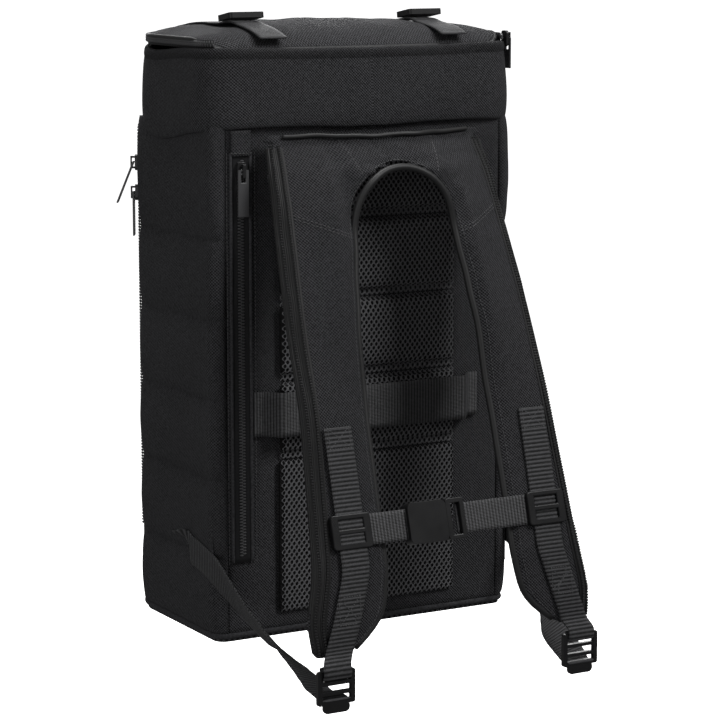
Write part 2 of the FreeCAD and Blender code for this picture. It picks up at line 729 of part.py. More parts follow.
def make_chest_buckle():
    """A side-release buckle: the socket's cavity takes two prongs and a guide tongue."""
    wide = BUCKLE_WIDTH / 2
    low = CHEST_LEVEL - BUCKLE_THICK / 2
    end = BUCKLE_MOUTH - size("socket_long")
    shell = plate("socket_shell", (end, BUCKLE_MOUTH), (-wide, wide), BUCKLE_THICK, 5)
    lean_place(shell, 0, 0, low)
    room = BUCKLE_WIDTH - 6
    cavity = doc.addObject("Part::Box", "socket_cavity")
    bind(cavity, Length=PRONG_LONG + 3, Width=room, Height=BUCKLE_THICK - 4)
    lean_place(cavity, BUCKLE_MOUTH - PRONG_LONG - 2, -room / 2, low + 2)
    windows = doc.addObject("Part::Box", "socket_windows")
    bind(windows, Length=12, Width=BUCKLE_WIDTH + 2, Height=BUCKLE_THICK - 4)
    lean_place(windows, BUCKLE_MOUTH - PRONG_LONG, -wide - 1, low + 2)
    hollow = join("Fuse", "socket_hollow", cavity, windows)
    keep(join("Cut", "buckle_socket", shell, hollow), "buckle_socket")

    thick = 8
    base = CHEST_LEVEL - thick / 2
    start = BUCKLE_MOUTH + GAP
    end = BUCKLE_MOUTH + size("plug_long")
    window = WEBBING / 2 + 0.5
    holes = [((start + 5, end - 4), (-window, window))]
    frame = plate("plug_frame", (start, end), (-wide, wide), thick, 2.5, holes=holes)
    lean_place(frame, 0, 0, base)
    arm = BUCKLE_THICK - 6
    prongs = frame
    for name, low_edge, tall in (("upper", 8, 5.2), ("lower", -13.2, 5.2), ("tongue", -3, 6)):
        bar = doc.addObject("Part::Box", f"plug_{name}")
        bind(bar, Length=PRONG_LONG + 1, Width=tall, Height=arm)
        lean_place(bar, BUCKLE_MOUTH - PRONG_LONG, low_edge, CHEST_LEVEL - arm / 2)
        prongs = join("Fuse", f"plug_with_{name}", prongs, bar)
    keep(prongs, "buckle_plug")


# ---------------------------------------------------------------- zip sliders
PIVOT_UP = 4.1
PULL_THICK = 1.6


def make_slider(label, x, y, z, turn, tilt=0, length=PULL_LONG):
    """A slider with an arch, and a flat pull whose bar turns under the arch.
    Local Y runs up the chain and local Z looks away from the cloth."""
    base = plate(f"{label}_plate", (-4.5, 4.5), (-7, 7), 2.6, 3)
    place(base, x, y, z, turn)
    arch_low = PIVOT_UP + 1.2
    arch = doc.addObject("Part::Box", f"{label}_arch")
    bind(arch, Length=2.6, Width=11, Height=arch_low + 1.4 - 2)
    under = doc.addObject("Part::Box", f"{label}_under_arch")
    bind(under, Length=4, Width=7.4, Height=arch_low - 1.4)
    for block, spot in ((arch, Vector(-1.3, -5.5, 2)), (under, Vector(-2, -3.7, 1.4))):
        moved = turn.multVec(spot)
        place(block, x + moved.x, y + moved.y, z + moved.z, turn)
    bridge = join("Cut", f"{label}_bridge", arch, under)
    keep(join("Fuse", f"{label}_slider", base, bridge), f"{label}_slider")

    half = PULL_WIDTH / 2
    hole = ((-2, 2), (-9.5, -0.9))
    pull = plate(f"{label}_pull_body", (-half, half), (-length, 0.9), PULL_THICK, None, holes=[hole])
    lean = turn.multiply(Rotation(Vector(1, 0, 0), -tilt))
    pivot = turn.multVec(Vector(0, 0, PIVOT_UP)) - lean.multVec(Vector(0, 0, PULL_THICK / 2))
    place(pull, x + pivot.x, y + pivot.y, z + pivot.z, lean)
    keep(pull, f"{label}_pull")


def make_sliders():
    facing_back = Rotation(Vector(1, 0, 0), 90)
    top = SIDE_ZIP_TOP - 8
    make_slider("side_zip", -SIDE_ZIP, BACK - 2.8, top, facing_back)
    middle_angle = math.radians(sum(CHAIN_ANGLES) / 2)
    out = Vector(-math.cos(middle_angle), math.sin(middle_angle), 0)
    reach = FRONT + 1.4
    corner_x = -(SIDE - FRONT) + reach * out.x
    corner_y = DEPTH / 2 - FRONT + reach * out.y
    facing_corner = Rotation(Vector(out.y, -out.x, 0) * -1, Vector(0, 0, 1), out, "ZXY")
    make_slider("front_zip_upper", corner_x, corner_y, COLLAR_BASE - 38, facing_corner, 22)
    make_slider("front_zip_lower", corner_x, corner_y, COLLAR_BASE - 64, facing_corner)
    facing_right = Rotation(Vector(0, 1, 0), Vector(0, 0, 1), Vector(1, 0, 0), "ZXY")
    lid_chain = COLLAR_TOP + size("zip_height") / 2
    make_slider("lid_zip", SIDE + PROUD + 0.6, BACK + 22, lid_chain - 2, facing_right, length=26)


# ---------------------------------------------------------------- build and write
def check_and_write():
    doc.recompute()
    for thing in doc.Objects:
        if "Invalid" in thing.State or "Error" in thing.State:
            raise RuntimeError(f"{thing.Name} failed: {thing.State}")
    os.makedirs("parts", exist_ok=True)
    for piece in finished:
        shape = piece.Shape
        if shape.isNull() or not shape.isValid() or shape.Volume < 1:
            raise RuntimeError(f"{piece.Label} has no sound solid")
        shape.exportStep(f"parts/{piece.Label}.step")
        print(f"{piece.Label}: {len(shape.Solids)} solid, {shape.Volume / 1000:.2f} cm3")
    print(len(finished), "sub-parts")


make_shell()
make_front_zip()
make_collar()
make_inside()
make_back_pads()
make_luggage_strap()
make_side_zip()
make_gussets_and_webbing()
make_lid()
make_straps()
make_yoke()
make_strap_webbing()
make_lock_loops()
make_ladder_locks()
make_chest_sliders()
make_chest_webbing()
make_chest_buckle()
make_sliders()
check_and_write()
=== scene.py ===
import json
import math

import bpy
import bmesh
import numpy as np
from mathutils.bvhtree import BVHTree
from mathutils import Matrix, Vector, noise


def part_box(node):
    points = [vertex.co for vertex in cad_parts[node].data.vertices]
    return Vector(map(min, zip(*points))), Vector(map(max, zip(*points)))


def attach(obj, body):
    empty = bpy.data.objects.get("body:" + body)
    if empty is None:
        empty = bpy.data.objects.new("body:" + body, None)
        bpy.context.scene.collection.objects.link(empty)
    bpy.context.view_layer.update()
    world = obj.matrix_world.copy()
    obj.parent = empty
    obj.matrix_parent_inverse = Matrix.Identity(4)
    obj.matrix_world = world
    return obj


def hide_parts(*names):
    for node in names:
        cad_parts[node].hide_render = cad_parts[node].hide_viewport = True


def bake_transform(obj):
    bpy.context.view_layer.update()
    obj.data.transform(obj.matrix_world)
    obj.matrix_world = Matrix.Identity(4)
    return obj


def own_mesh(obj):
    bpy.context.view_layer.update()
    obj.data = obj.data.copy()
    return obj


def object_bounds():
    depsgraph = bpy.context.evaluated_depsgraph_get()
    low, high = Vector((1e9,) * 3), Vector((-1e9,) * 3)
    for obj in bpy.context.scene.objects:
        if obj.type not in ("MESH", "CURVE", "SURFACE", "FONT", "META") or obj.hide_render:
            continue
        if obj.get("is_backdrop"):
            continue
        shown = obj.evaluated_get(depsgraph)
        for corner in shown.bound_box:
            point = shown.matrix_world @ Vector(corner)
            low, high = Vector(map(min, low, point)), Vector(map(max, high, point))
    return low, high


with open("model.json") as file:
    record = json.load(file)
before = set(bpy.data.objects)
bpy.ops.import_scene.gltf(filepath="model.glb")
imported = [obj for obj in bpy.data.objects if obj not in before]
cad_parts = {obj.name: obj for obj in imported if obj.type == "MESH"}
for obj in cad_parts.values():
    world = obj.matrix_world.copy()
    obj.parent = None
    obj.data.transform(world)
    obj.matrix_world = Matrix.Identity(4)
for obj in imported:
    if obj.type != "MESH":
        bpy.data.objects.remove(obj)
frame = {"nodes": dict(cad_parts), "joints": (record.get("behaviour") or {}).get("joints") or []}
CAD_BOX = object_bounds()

# %% [markdown]
# A racket backpack is mostly sewn cloth. This lesson builds it the way a
# workshop would: walls round a box, a padded collar, a lid, back pads under
# spacer mesh, two foam straps, and webbing with plastic hardware. Every piece
# is placed from the CAD frame, so first come the frame's own landmarks.

# %% landmarks of the pack, in metres
MM = 0.001
low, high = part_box("bottom_panel")
BASE = Vector(((low.x + high.x) / 2, (low.y + high.y) / 2, low.z))
HALF_X = (high.x - low.x) / 2
HALF_Y = (high.y - low.y) / 2
COLLAR_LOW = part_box("collar")[0].z - BASE.z
COLLAR_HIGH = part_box("collar")[1].z - BASE.z
DOOR_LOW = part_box("front_door")[0].z - BASE.z
DOOR_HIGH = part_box("front_door")[1].z - BASE.z
WALL = 4 * MM
REAR_RADIUS = 12 * MM
FRONT_RADIUS = 38 * MM


def local(node):
    """A CAD node's box measured from the middle of the pack's base."""
    near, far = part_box(node)
    return near - BASE, far - BASE


def centre(node):
    near, far = local(node)
    return (near + far) / 2


def placed(name, data):
    """An object at the origin that carries this data, linked to the scene."""
    item = bpy.data.objects.new(name, data)
    bpy.context.scene.collection.objects.link(item)
    return item


print("pack", [round(2000 * s) for s in (HALF_X, HALF_Y)], "mm, collar from", round(COLLAR_LOW / MM), "mm")

# %% [markdown]
# The camera looks at the harness side from the left, a little above the
# middle, through a long lens, so that upright edges stay nearly parallel. A
# soft key stands in front on the right and above, and weaker lamps fill from
# the left, the top and the rear. The world is white to the camera and dim on
# the cloth, which keeps a black pack black against a pale ground.

# %% camera, lights and floor
AZIMUTH = math.radians(-29.61)
ELEVATION = math.radians(9.26)
DISTANCE = 2.409
AIM = BASE + Vector((0.0429, 0, 0.2128))

back = Vector(
    (
        math.sin(AZIMUTH) * math.cos(ELEVATION),
        -math.cos(AZIMUTH) * math.cos(ELEVATION),
        math.sin(ELEVATION),
    )
)
camera = placed("camera", bpy.data.cameras.new("camera"))
camera.data.sensor_width = 36
camera.data.lens = 135.35
camera.location = AIM + back * DISTANCE
camera.rotation_mode = "QUATERNION"
camera.rotation_quaternion = (-back).to_track_quat("-Z", "Y")
bpy.context.scene.camera = camera
bpy.context.scene.view_settings.view_transform = "Standard"
bpy.context.scene.view_settings.exposure = 0.2


def soft_light(name, place, size, power):
    lamp = placed(name, bpy.data.lights.new(name, "AREA"))
    lamp.data.shape = "RECTANGLE"
    lamp.data.size = size
    lamp.data.size_y = size
    lamp.data.energy = power
    lamp.location = AIM + Vector(place)
    lamp.rotation_mode = "QUATERNION"
    lamp.rotation_quaternion = Vector(place).to_track_quat("Z", "Y")


soft_light("key_light", (1.1, -1.9, 2.0), 0.9, 62)
soft_light("fill_light", (-1.9, -1.2, 0.5), 1.3, 13)
soft_light("top_light", (0.1, 0.2, 2.2), 1.0, 42)
soft_light("rear_light", (0.9, 1.9, 0.7), 1.4, 24)

world = bpy.data.worlds.new("pale_room")
world.use_nodes = True
world.node_tree.nodes["Background"].inputs["Color"].default_value = (1, 1, 1, 1)
ROOM_LIGHT = 0.22
rays = world.node_tree.nodes.new("ShaderNodeLightPath")
strength = world.node_tree.nodes.new("ShaderNodeMapRange")
strength.inputs["To Min"].default_value = ROOM_LIGHT
strength.inputs["To Max"].default_value = 1.0
world.node_tree.links.new(rays.outputs["Is Camera Ray"], strength.inputs["Value"])
world.node_tree.links.new(strength.outputs["Result"], world.node_tree.nodes["Background"].inputs["Strength"])
bpy.context.scene.world = world

# %% [markdown]
# Shader maths reads best as plain sums. A small class wraps a node's output
# socket, and its operators add the Math nodes, so a weave can be written as
# the product of two waves. Cloth, webbing and plastic are all built with it.

# %% shader kit
class Wire:
    """An output socket that can be added, subtracted and multiplied in Python."""

    def __init__(self, kit, socket):
        self.kit = kit
        self.socket = socket

    def _maths(self, operation, first, second=0.0):
        return self.kit.node("ShaderNodeMath", {"operation": operation}, {0: first, 1: second})

    def __add__(self, other):
        return self._maths("ADD", self, other)

    __radd__ = __add__

    def __sub__(self, other):
        return self._maths("SUBTRACT", self, other)

    def __rsub__(self, other):
        return self._maths("SUBTRACT", other, self)

    def __mul__(self, other):
        return self._maths("MULTIPLY", self, other)

    __rmul__ = __mul__

    def sine(self):
        return self._maths("SINE", self)


class Finish:
    """A material with a Principled shader and one method that adds any other node."""

    def __init__(self, name, colour, roughness, **constants):
        self.material = bpy.data.materials.new(name)
        self.material.use_nodes = True
        self.tree = self.material.node_tree
        self.shader = self.tree.nodes["Principled BSDF"]
        self.material.diffuse_color = (*colour, 1)
        self.set(Base_Color=(*colour, 1), Roughness=roughness, **constants)

    def set(self, **inputs):
        for name, value in inputs.items():
            socket = self.shader.inputs[name.replace("_", " ")]
            if isinstance(value, Wire):
                self.tree.links.new(value.socket, socket)
            else:
                socket.default_value = value

    def node(self, kind, settings=None, inputs=None, output=0):
        made = self.tree.nodes.new(kind)
        for name, value in (settings or {}).items():
            setattr(made, name, value)
        for name, value in (inputs or {}).items():
            if isinstance(value, Wire):
                self.tree.links.new(value.socket, made.inputs[name])
            else:
                made.inputs[name].default_value = value
        return Wire(self, made.outputs[output])

    def uv(self):
        """Across and along the cloth, in metres, from the piece's own map."""
        where = self.node("ShaderNodeUVMap", {"uv_map": "cloth"})
        split = self.node("ShaderNodeSeparateXYZ", None, {0: where})
        return split, Wire(self, split.socket.node.outputs[1])

    def space(self):
        where = self.node("ShaderNodeTexCoord", output=3)
        split = self.node("ShaderNodeSeparateXYZ", None, {0: where})
        outputs = split.socket.node.outputs
        return where, Wire(self, outputs[0]), Wire(self, outputs[1]), Wire(self, outputs[2])

    def cloud(self, where, scale, detail=2.0):
        return self.node("ShaderNodeTexNoise", None, {"Vector": where, "Scale": scale, "Detail": detail})

    def shade(self, colour, amount, share):
        """The colour made lighter or darker by amount, where share runs from 0 to 1."""
        dark = tuple(c * (1 - amount) for c in colour)
        light = tuple(c * (1 + amount) for c in colour)
        mixed = self.node(
            "ShaderNodeMix",
            {"data_type": "RGBA"},
            {0: share, 6: (*dark, 1), 7: (*light, 1)},
            output=2,
        )
        self.set(Base_Color=mixed)

    def bump(self, height, depth, strength=1.0):
        inputs = {"Height": height, "Distance": depth, "Strength": strength}
        self.set(Normal=self.node("ShaderNodeBump", None, inputs))


TURN = 2 * math.pi

# %% [markdown]
# Pack cloth is a coarse polyester in which each yarn passes over two others.
# The eye sees a fine slanting grain and slightly uneven yarns. It could be a
# picture of cloth; two crossed waves with a little noise stay sharp at any
# distance and follow the piece's own map, so the grain turns with the panel.

# %% cloth finishes
def woven(name, colour, yarn=0.0026, contrast=0.95, roughness=0.85):
    cloth = Finish(name, colour, roughness, Specular_IOR_Level=0.14)
    across, along = cloth.uv()
    where, _, _, _ = cloth.space()
    warp = (across * (TURN / yarn)).sine()
    weft = (along * (TURN / yarn)).sine()
    slant = ((across + along) * (TURN / yarn)).sine()
    yarns = warp * weft * 0.75 + slant * 0.25
    uneven = cloth.cloud(where, 700, 1.0) - 0.5
    slub = cloth.cloud(where, 330, 2.0) - 0.5
    broad = cloth.cloud(where, 9, 3.0) - 0.5
    share = yarns * 0.6 + uneven * 0.9 + slub * 0.45 + broad * 0.3 + 0.5
    cloth.shade(colour, contrast, share)
    cloth.set(Roughness=broad * 0.18 + roughness)
    cloth.bump(yarns + uneven * 0.6 + slub * 0.3, 0.0006)
    return cloth.material


PACK_CLOTH = woven("pack_cloth", (0.0265, 0.0265, 0.0285))
STRAP_CLOTH = woven("strap_cloth", (0.0205, 0.0205, 0.0222))
HEM_CLOTH = woven("hem_cloth", (0.016, 0.016, 0.0172))
LINING = woven("lining_cloth", (0.06, 0.06, 0.064), contrast=0.3)
PADDING = woven("pad_backing_cloth", (0.004, 0.004, 0.0043), contrast=0.3)

# %% [markdown]
# Webbing is woven so tightly that its weft stands up as cross ribs. The ribs
# are real waves in the mesh; the finish adds the fine warp threads that run
# along it, and its colour carries a painted highlight on the rib crowns and
# painted shade in the valleys between them.

# %% webbing, tape and thread finishes
def threaded(name, colour, thread=0.0012, contrast=0.7, roughness=0.55, specular=0.3):
    band = Finish(name, colour, roughness, Specular_IOR_Level=specular)
    across, along = band.uv()
    where, _, _, _ = band.space()
    threads = (across * (TURN / thread)).sine()
    crown = band.node("ShaderNodeAttribute", {"attribute_name": "crown"}, output=2)
    worn = band.cloud(where, 350, 2.0) - 0.5
    # crown * crown is painted light and shade: a painted highlight on each rib's crown and painted shade in
    # the valleys between ribs.
    share = threads * 0.16 + crown * crown * 1.25 + worn * 0.7 - 0.12
    band.shade(colour, contrast, share)
    band.bump(threads, 0.0002, 0.8)
    return band.material


# On the webbing, contrast also sets the strength of the painted highlight on the rib crowns and the painted
# shade in the valleys.
WEBBING = threaded("webbing_nylon", (0.024, 0.024, 0.0255), contrast=0.95)
EDGE_TAPE = threaded("edge_tape", (0.019, 0.019, 0.020), thread=0.0016)
ZIP_TAPE = threaded("zip_tape", (0.018, 0.018, 0.0195), thread=0.001, contrast=0.35, specular=0.15)
MESH_YARN = threaded("spacer_mesh_yarn", (0.16, 0.16, 0.168), contrast=0.5, roughness=0.5)


def plain(name, colour, roughness, grain, depth, contrast=0.15, **constants):
    """A moulded, cast or spun surface: even colour with a fine grain and faint scuffs."""
    finish = Finish(name, colour, roughness, **constants)
    where, _, _, _ = finish.space()
    fine = finish.cloud(where, grain, 2.0)
    scuffs = finish.cloud(where, 60, 3.0)
    finish.shade(colour, contrast, fine * 0.5 + scuffs * 0.5)
    finish.set(Roughness=(scuffs - 0.5) * 0.25 + (fine - 0.5) * 0.1 + roughness)
    finish.bump(fine, depth)
    return finish.material


DARK_THREAD = plain("dark_sewing_thread", (0.035, 0.035, 0.037), 0.6, 3000, 0.0001, 0.4)
PLASTIC = plain("buckle_plastic", (0.005, 0.005, 0.0054), 0.4, 2200, 0.00004, 0.15, Specular_IOR_Level=0.22)
TOOTH_PLASTIC = plain("zip_tooth_plastic", (0.045, 0.045, 0.047), 0.38, 1500, 0.00003)
PULL_RUBBER = plain("pull_rubber", (0.035, 0.035, 0.037), 0.5, 1800, 0.00006)
BLACK_METAL = plain("black_zip_metal", (0.02, 0.02, 0.021), 0.35, 1500, 0.00003, Metallic=0.6)
LINK_STEEL = plain("link_steel", (0.62, 0.62, 0.64), 0.24, 1200, 0.00002, Metallic=1.0)
BOARD = plain("stiff_board", (0.22, 0.22, 0.23), 0.55, 700, 0.00008)
FLOOR_GLOW = {"Emission_Color": (1, 1, 1, 1), "Emission_Strength": 0.8}
FLOOR_PAINT = plain("floor_paint", (0.9, 0.9, 0.9), 0.9, 40, 0.0001, 0.01, **FLOOR_GLOW)
print(len(bpy.data.materials), "finishes")

# %% [markdown]
# Most pieces are sheets of cloth with a thickness. One function turns a grid
# of points into a closed sheet, with a map measured in metres so that the
# weave keeps its size, and with the lining on its inner face.

# %% sheet maker
def new_piece(name, corners, faces, finishes):
    mesh = bpy.data.meshes.new(name)
    mesh.from_pydata([tuple(c) for c in corners], [], faces)
    mesh.polygons.foreach_set("use_smooth", [True] * len(mesh.polygons))
    for finish in finishes:
        mesh.materials.append(finish)
    return placed(name, mesh)


def grid_normals(points, loop):
    """Outward directions of a grid: across its columns, then up its rows."""
    if loop:
        across = np.roll(points, -1, 1) - np.roll(points, 1, 1)
    else:
        across = np.gradient(points, axis=1)
    normals = np.cross(across, np.gradient(points, axis=0))
    return normals / np.maximum(np.linalg.norm(normals, axis=2, keepdims=True), 1e-9)


def lay_map(mesh, across, along):
    for layer in list(mesh.uv_layers):
        mesh.uv_layers.remove(layer)
    layer = mesh.uv_layers.new(name="cloth")
    corner = np.zeros(len(mesh.loops), int)
    mesh.loops.foreach_get("vertex_index", corner)
    layer.data.foreach_set("uv", np.stack([across[corner], along[corner]], 1).ravel())


def skin(name, points, finish, thick=0.0, loop=False, inner=None):
    """A sheet through a grid of points; with a thickness it is closed all round."""
    points = np.array(points, float)
    rows, columns = points.shape[:2]
    steps = np.linalg.norm(np.diff(points, axis=1), axis=2).mean(0)
    lifts = np.linalg.norm(np.diff(points, axis=0), axis=2).mean(1)
    across = np.tile(np.concatenate([[0], np.cumsum(steps)]), (rows, 1))
    along = np.tile(np.concatenate([[0], np.cumsum(lifts)])[:, None], (1, columns))
    wide = columns if loop else columns - 1
    number = np.arange(rows * columns).reshape(rows, columns)
    faces = []
    for row in range(rows - 1):
        for column in range(wide):
            after = (column + 1) % columns
            quad = [number[row, column], number[row, after], number[row + 1, after], number[row + 1, column]]
            faces.append([int(corner) for corner in quad])
    layers = [points.reshape(-1, 3)]
    outer_count = len(faces)
    if thick:
        behind = points - grid_normals(points, loop) * thick
        layers.append(behind.reshape(-1, 3))
        shift = rows * columns
        faces += [[corner + shift for corner in quad[::-1]] for quad in faces[:outer_count]]
        rims = [(number[0], 1), (number[-1], -1)]
        if not loop:
            rims += [(number[:, 0], -1), (number[:, -1], 1)]
        for rim, way in rims:
            ends = [int(corner) for corner in rim]
            if loop:
                ends.append(ends[0])
            for first, second in zip(ends, ends[1:]):
                quad = [first, first + shift, second + shift, second]
                faces.append(quad if way > 0 else quad[::-1])
    piece = new_piece(name, np.concatenate(layers), faces, [finish] + ([inner] if inner else []))
    lay_map(piece.data, np.tile(across.ravel(), len(layers)), np.tile(along.ravel(), len(layers)))
    if loop:
        whole = across[0, -1] + float(np.linalg.norm(points[:, 0] - points[:, -1], axis=1).mean())
        layer = piece.data.uv_layers["cloth"].data
        for face in piece.data.polygons:
            turned = [corner for corner in face.loop_indices if layer[corner].uv[0] == 0.0]
            if any(layer[corner].uv[0] > whole / 2 for corner in face.loop_indices):
                for corner in turned:
                    layer[corner].uv[0] = whole
    if inner:
        for face in piece.data.polygons[outer_count:2 * outer_count]:
            face.material_index = 1
    return piece


def joined(name, *pieces):
    """Sews pieces of one body into one object."""
    whole = bmesh.new()
    mesh = bpy.data.meshes.new(name)
    for piece in pieces:
        for finish in piece.data.materials:
            if finish.name not in mesh.materials:
                mesh.materials.append(finish)
        slots = [mesh.materials.find(finish.name) for finish in piece.data.materials]
        before = len(whole.faces)
        whole.from_mesh(piece.data)
        whole.faces.ensure_lookup_table()
        for face in whole.faces[before:]:
            face.material_index = slots[face.material_index]
        bpy.data.objects.remove(piece)
    whole.to_mesh(mesh)
    whole.free()
    return placed(name, mesh)


def settle(piece, body, slot, *nodes):
    """Rides the piece on its body and hides the CAD nodes it stands for; slot is not used."""
    if body:
        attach(piece, body)
    if nodes:
        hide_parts(*nodes)
    print(f"{piece.name}: {len(piece.data.polygons)} faces on {body}")
    return piece


# %% [markdown]
# The walls follow the pack's plan: a rectangle with small rear corners and
# large front ones. A function that walks this outline lets every wall, zip
# and hem be drawn as if the bag were unrolled: distance round, height, and
# how far the cloth stands out.

# %% the plan of the pack
def plan_runs(rear, front):
    """Straights and corners, as length and radius, from the middle of the back to the middle of the front."""
    return [
        (HALF_X - rear, 0.0),
        (math.pi / 2 * rear, rear),
        (2 * HALF_Y - rear - front, 0.0),
        (math.pi / 2 * front, front),
        (HALF_X - front, 0.0),
    ]


def walk(distance, grow=0.0, rear=REAR_RADIUS, front=FRONT_RADIUS):
    """Point and outward direction at a distance round the plan from the middle of the back."""
    runs = plan_runs(rear, front)
    half = sum(length for length, _ in runs)
    distance = (distance + half) % (2 * half) - half
    side = -1.0 if distance > 0 else 1.0
    left = abs(distance)
    spot = Vector((0, -HALF_Y))
    heading = 0.0
    for length, radius in runs:
        step = min(left, length)
        along = Vector((math.cos(heading), math.sin(heading)))
        inward = Vector((-math.sin(heading), math.cos(heading)))
        if radius:
            turn = step / radius
            spot += along * radius * math.sin(turn) + inward * radius * (1 - math.cos(turn))
            heading += turn
        else:
            spot += along * step
        left -= step
        if left <= 0:
            break
    out = Vector((math.sin(heading), -math.cos(heading)))
    spot += out * grow
    return Vector((spot.x * side, spot.y)), Vector((out.x * side, out.y))


CORNER = HALF_X - REAR_RADIUS
SIDE_START = CORNER + math.pi / 2 * REAR_RADIUS
SIDE_END = SIDE_START + 2 * HALF_Y - REAR_RADIUS - FRONT_RADIUS
WALL_END = SIDE_END + FRONT_RADIUS * math.radians(22)
CHAIN_LINE = SIDE_END + FRONT_RADIUS * math.radians(30)
DOOR_START = SIDE_END + FRONT_RADIUS * math.radians(38)
ROUND = 2 * sum(length for length, _ in plan_runs(REAR_RADIUS, FRONT_RADIUS))


def spaced(start, end, step):
    """Even steps from start to end, no longer than step."""
    return np.linspace(start, end, max(2, int(math.ceil(abs(end - start) / step)) + 1))


def wall(rounds, heights, stand):
    """Grid of points on the plan, standing out by stand(distance, height)."""
    rows = []
    for height in heights:
        row = []
        for distance in rounds:
            spot, _ = walk(distance, stand(distance, height))
            row.append(BASE + Vector((spot.x, spot.y, height)))
        rows.append(row)
    return rows


def wave(x, y, z, seed=0.0):
    """Smooth unevenness from -1 to 1."""
    return noise.noise(Vector((x, y, z + seed)))


print("round the pack", round(ROUND / MM), "mm")

# %% [markdown]
# Quilting holds the foam in the side walls: a row of stitches pulls the cloth
# in every 67 mm and the foam swells between. The swelling is a formula here,
# steep beside the seam and flat in the middle, with small puckers that die
# away from the thread. A cloth simulation would swell it too, but it would
# also pull the wall away from the zip and the hem.

# %% quilted walls
QUILT_PITCH = 67 * MM
QUILT_SEAMS = [70 * MM + QUILT_PITCH * row for row in range(5)]
PUFF = 4.6 * MM
CLOTH_THICK = 3 * MM


def channel(height, seams, low_edge, high_edge):
    """From 0 at a seam to 1 midway between two, and the distance to the nearest seam."""
    edges = [low_edge] + list(seams) + [high_edge]
    for below, above in zip(edges, edges[1:]):
        if height <= above:
            share = (height - below) / (above - below)
            near = min(height - below, above - height)
            return (4 * share * (1 - share)) ** 0.55, max(near, 0.0)
    return 0.0, 0.0


def rolled(gap, reach=5 * MM):
    """From 0 at a sewn edge to 1 past its rounding."""
    share = min(max(gap / reach, 0.0), 1.0)
    return math.sqrt(1 - (1 - share) ** 2)


def quilted(start, end, floor, seams, puff, seed):
    def stand(distance, height):
        swell, near = channel(height, seams, floor, COLLAR_LOW + 4 * MM)
        edge = min(abs(distance - start), abs(end - distance))
        pucker = wave(distance * 70, height * 14, 0, seed) * math.exp(-near / (7 * MM))
        sag = wave(distance * 14, height * 9, 3, seed) * 1.5 * MM
        crease = wave(distance * 38, height * 52, 6, seed) * 0.5 * MM
        return (swell * puff + sag + crease + pucker * 0.9 * MM - 0.6 * MM) * rolled(edge, 14 * MM) - 0.4 * MM

    return stand


def heights_with(seams, start, end, step):
    """Rows that crowd beside each seam, so that the crease stays sharp."""
    close = [seam + shift * MM for seam in seams for shift in (-2.5, -1.0, -0.3, 0.3, 1.0, 2.5)]
    kept = [h for h in spaced(start, end, step) if all(abs(h - seam) > 3.5 * MM for seam in seams)]
    return sorted(kept + [h for h in close if start < h < end])


HEIGHTS = heights_with(QUILT_SEAMS, WALL, COLLAR_LOW + 3 * MM, 4 * MM)
for side, name in ((1, "left"), (-1, "right")):
    rounds = spaced(CORNER + 1 * MM, WALL_END, 4 * MM) * side
    stand = quilted(rounds[0], rounds[-1], WALL, QUILT_SEAMS, PUFF, 10 * side)
    points = wall(rounds, HEIGHTS, stand)
    if side > 0:
        points = [row[::-1] for row in points]
    panel = skin(f"side_wall_{name}", points, PACK_CLOTH, CLOTH_THICK, inner=LINING)
    settle(panel, "bag", "pack_fabric", f"side_panel_{name}")

# %% [markdown]
# The back wall is nearly flat, because a stiff board stands behind it. Its
# wings show only long shallow folds between the mesh and the corner seams.

# %% back wall, sill, door and bottom
def flat_stand(depth, seed):
    def stand(distance, height):
        fold = wave(distance * 12, height * 5, 0, seed) + 0.4 * wave(distance * 40, height * 22, 5, seed)
        edge = min(height - WALL, COLLAR_LOW - height)
        return fold * depth * rolled(edge, 20 * MM) - 0.6 * MM

    return stand


rounds = spaced(CORNER, -CORNER, 5 * MM)
points = wall(rounds, spaced(WALL, COLLAR_LOW + 3 * MM, 6 * MM), flat_stand(1.1 * MM, 40))
back_wall = skin("back_wall", points, PACK_CLOTH, CLOTH_THICK, inner=LINING)
settle(back_wall, "bag", "pack_fabric", "back_cover")

rounds = spaced(ROUND - WALL_END, WALL_END, 4 * MM)
stand = quilted(rounds[0], rounds[-1], WALL, [], 2 * MM, 60)
points = wall(rounds, spaced(WALL, DOOR_LOW - 1 * MM, 4 * MM), stand)
sill = skin("sill_wall", points, PACK_CLOTH, CLOTH_THICK, inner=LINING)
settle(sill, "bag", "pack_fabric", "front_lower_panel")

rounds = spaced(ROUND - DOOR_START, DOOR_START, 4 * MM)
DOOR_SEAMS = [seam for seam in QUILT_SEAMS if DOOR_LOW + 10 * MM < seam < DOOR_HIGH]


def door_stand(distance, height):
    swell, near = channel(height, DOOR_SEAMS, DOOR_LOW, DOOR_HIGH)
    edge = min(abs(distance - rounds[0]), abs(rounds[-1] - distance))
    pucker = wave(distance * 70, height * 14, 0, 80) * math.exp(-near / (7 * MM)) * 0.9 * MM
    sag = wave(distance * 12, height * 9, 3, 80) * 1.4 * MM
    return (swell * PUFF + sag + pucker) * rolled(edge, 14 * MM) - 0.4 * MM


points = wall(rounds, heights_with(DOOR_SEAMS, DOOR_LOW, DOOR_HIGH, 4 * MM), door_stand)
door = skin("front_door_panel", points, PACK_CLOTH, CLOTH_THICK, inner=LINING)
settle(door, "front_door", "pack_fabric", "front_door")


def plan_patch(name, level, inset, finish, thick):
    """A horizontal panel with the plan's outline, drawn as rings that shrink to its middle."""
    rings = []
    for share in np.linspace(1.0, 0.0, 22):
        ring = []
        for distance in np.linspace(0, ROUND, 160, endpoint=False):
            spot, _ = walk(distance, -inset)
            ring.append(BASE + Vector((spot.x * max(share, 0.002), spot.y * max(share, 0.002), level)))
        rings.append(ring)
    return skin(name, rings[::-1], finish, thick, loop=True)


floor_cloth = plan_patch("bottom_wall", 0.5 * MM, 2.6 * MM, PACK_CLOTH, CLOTH_THICK)
settle(floor_cloth, "bag", "pack_fabric", "bottom_panel")

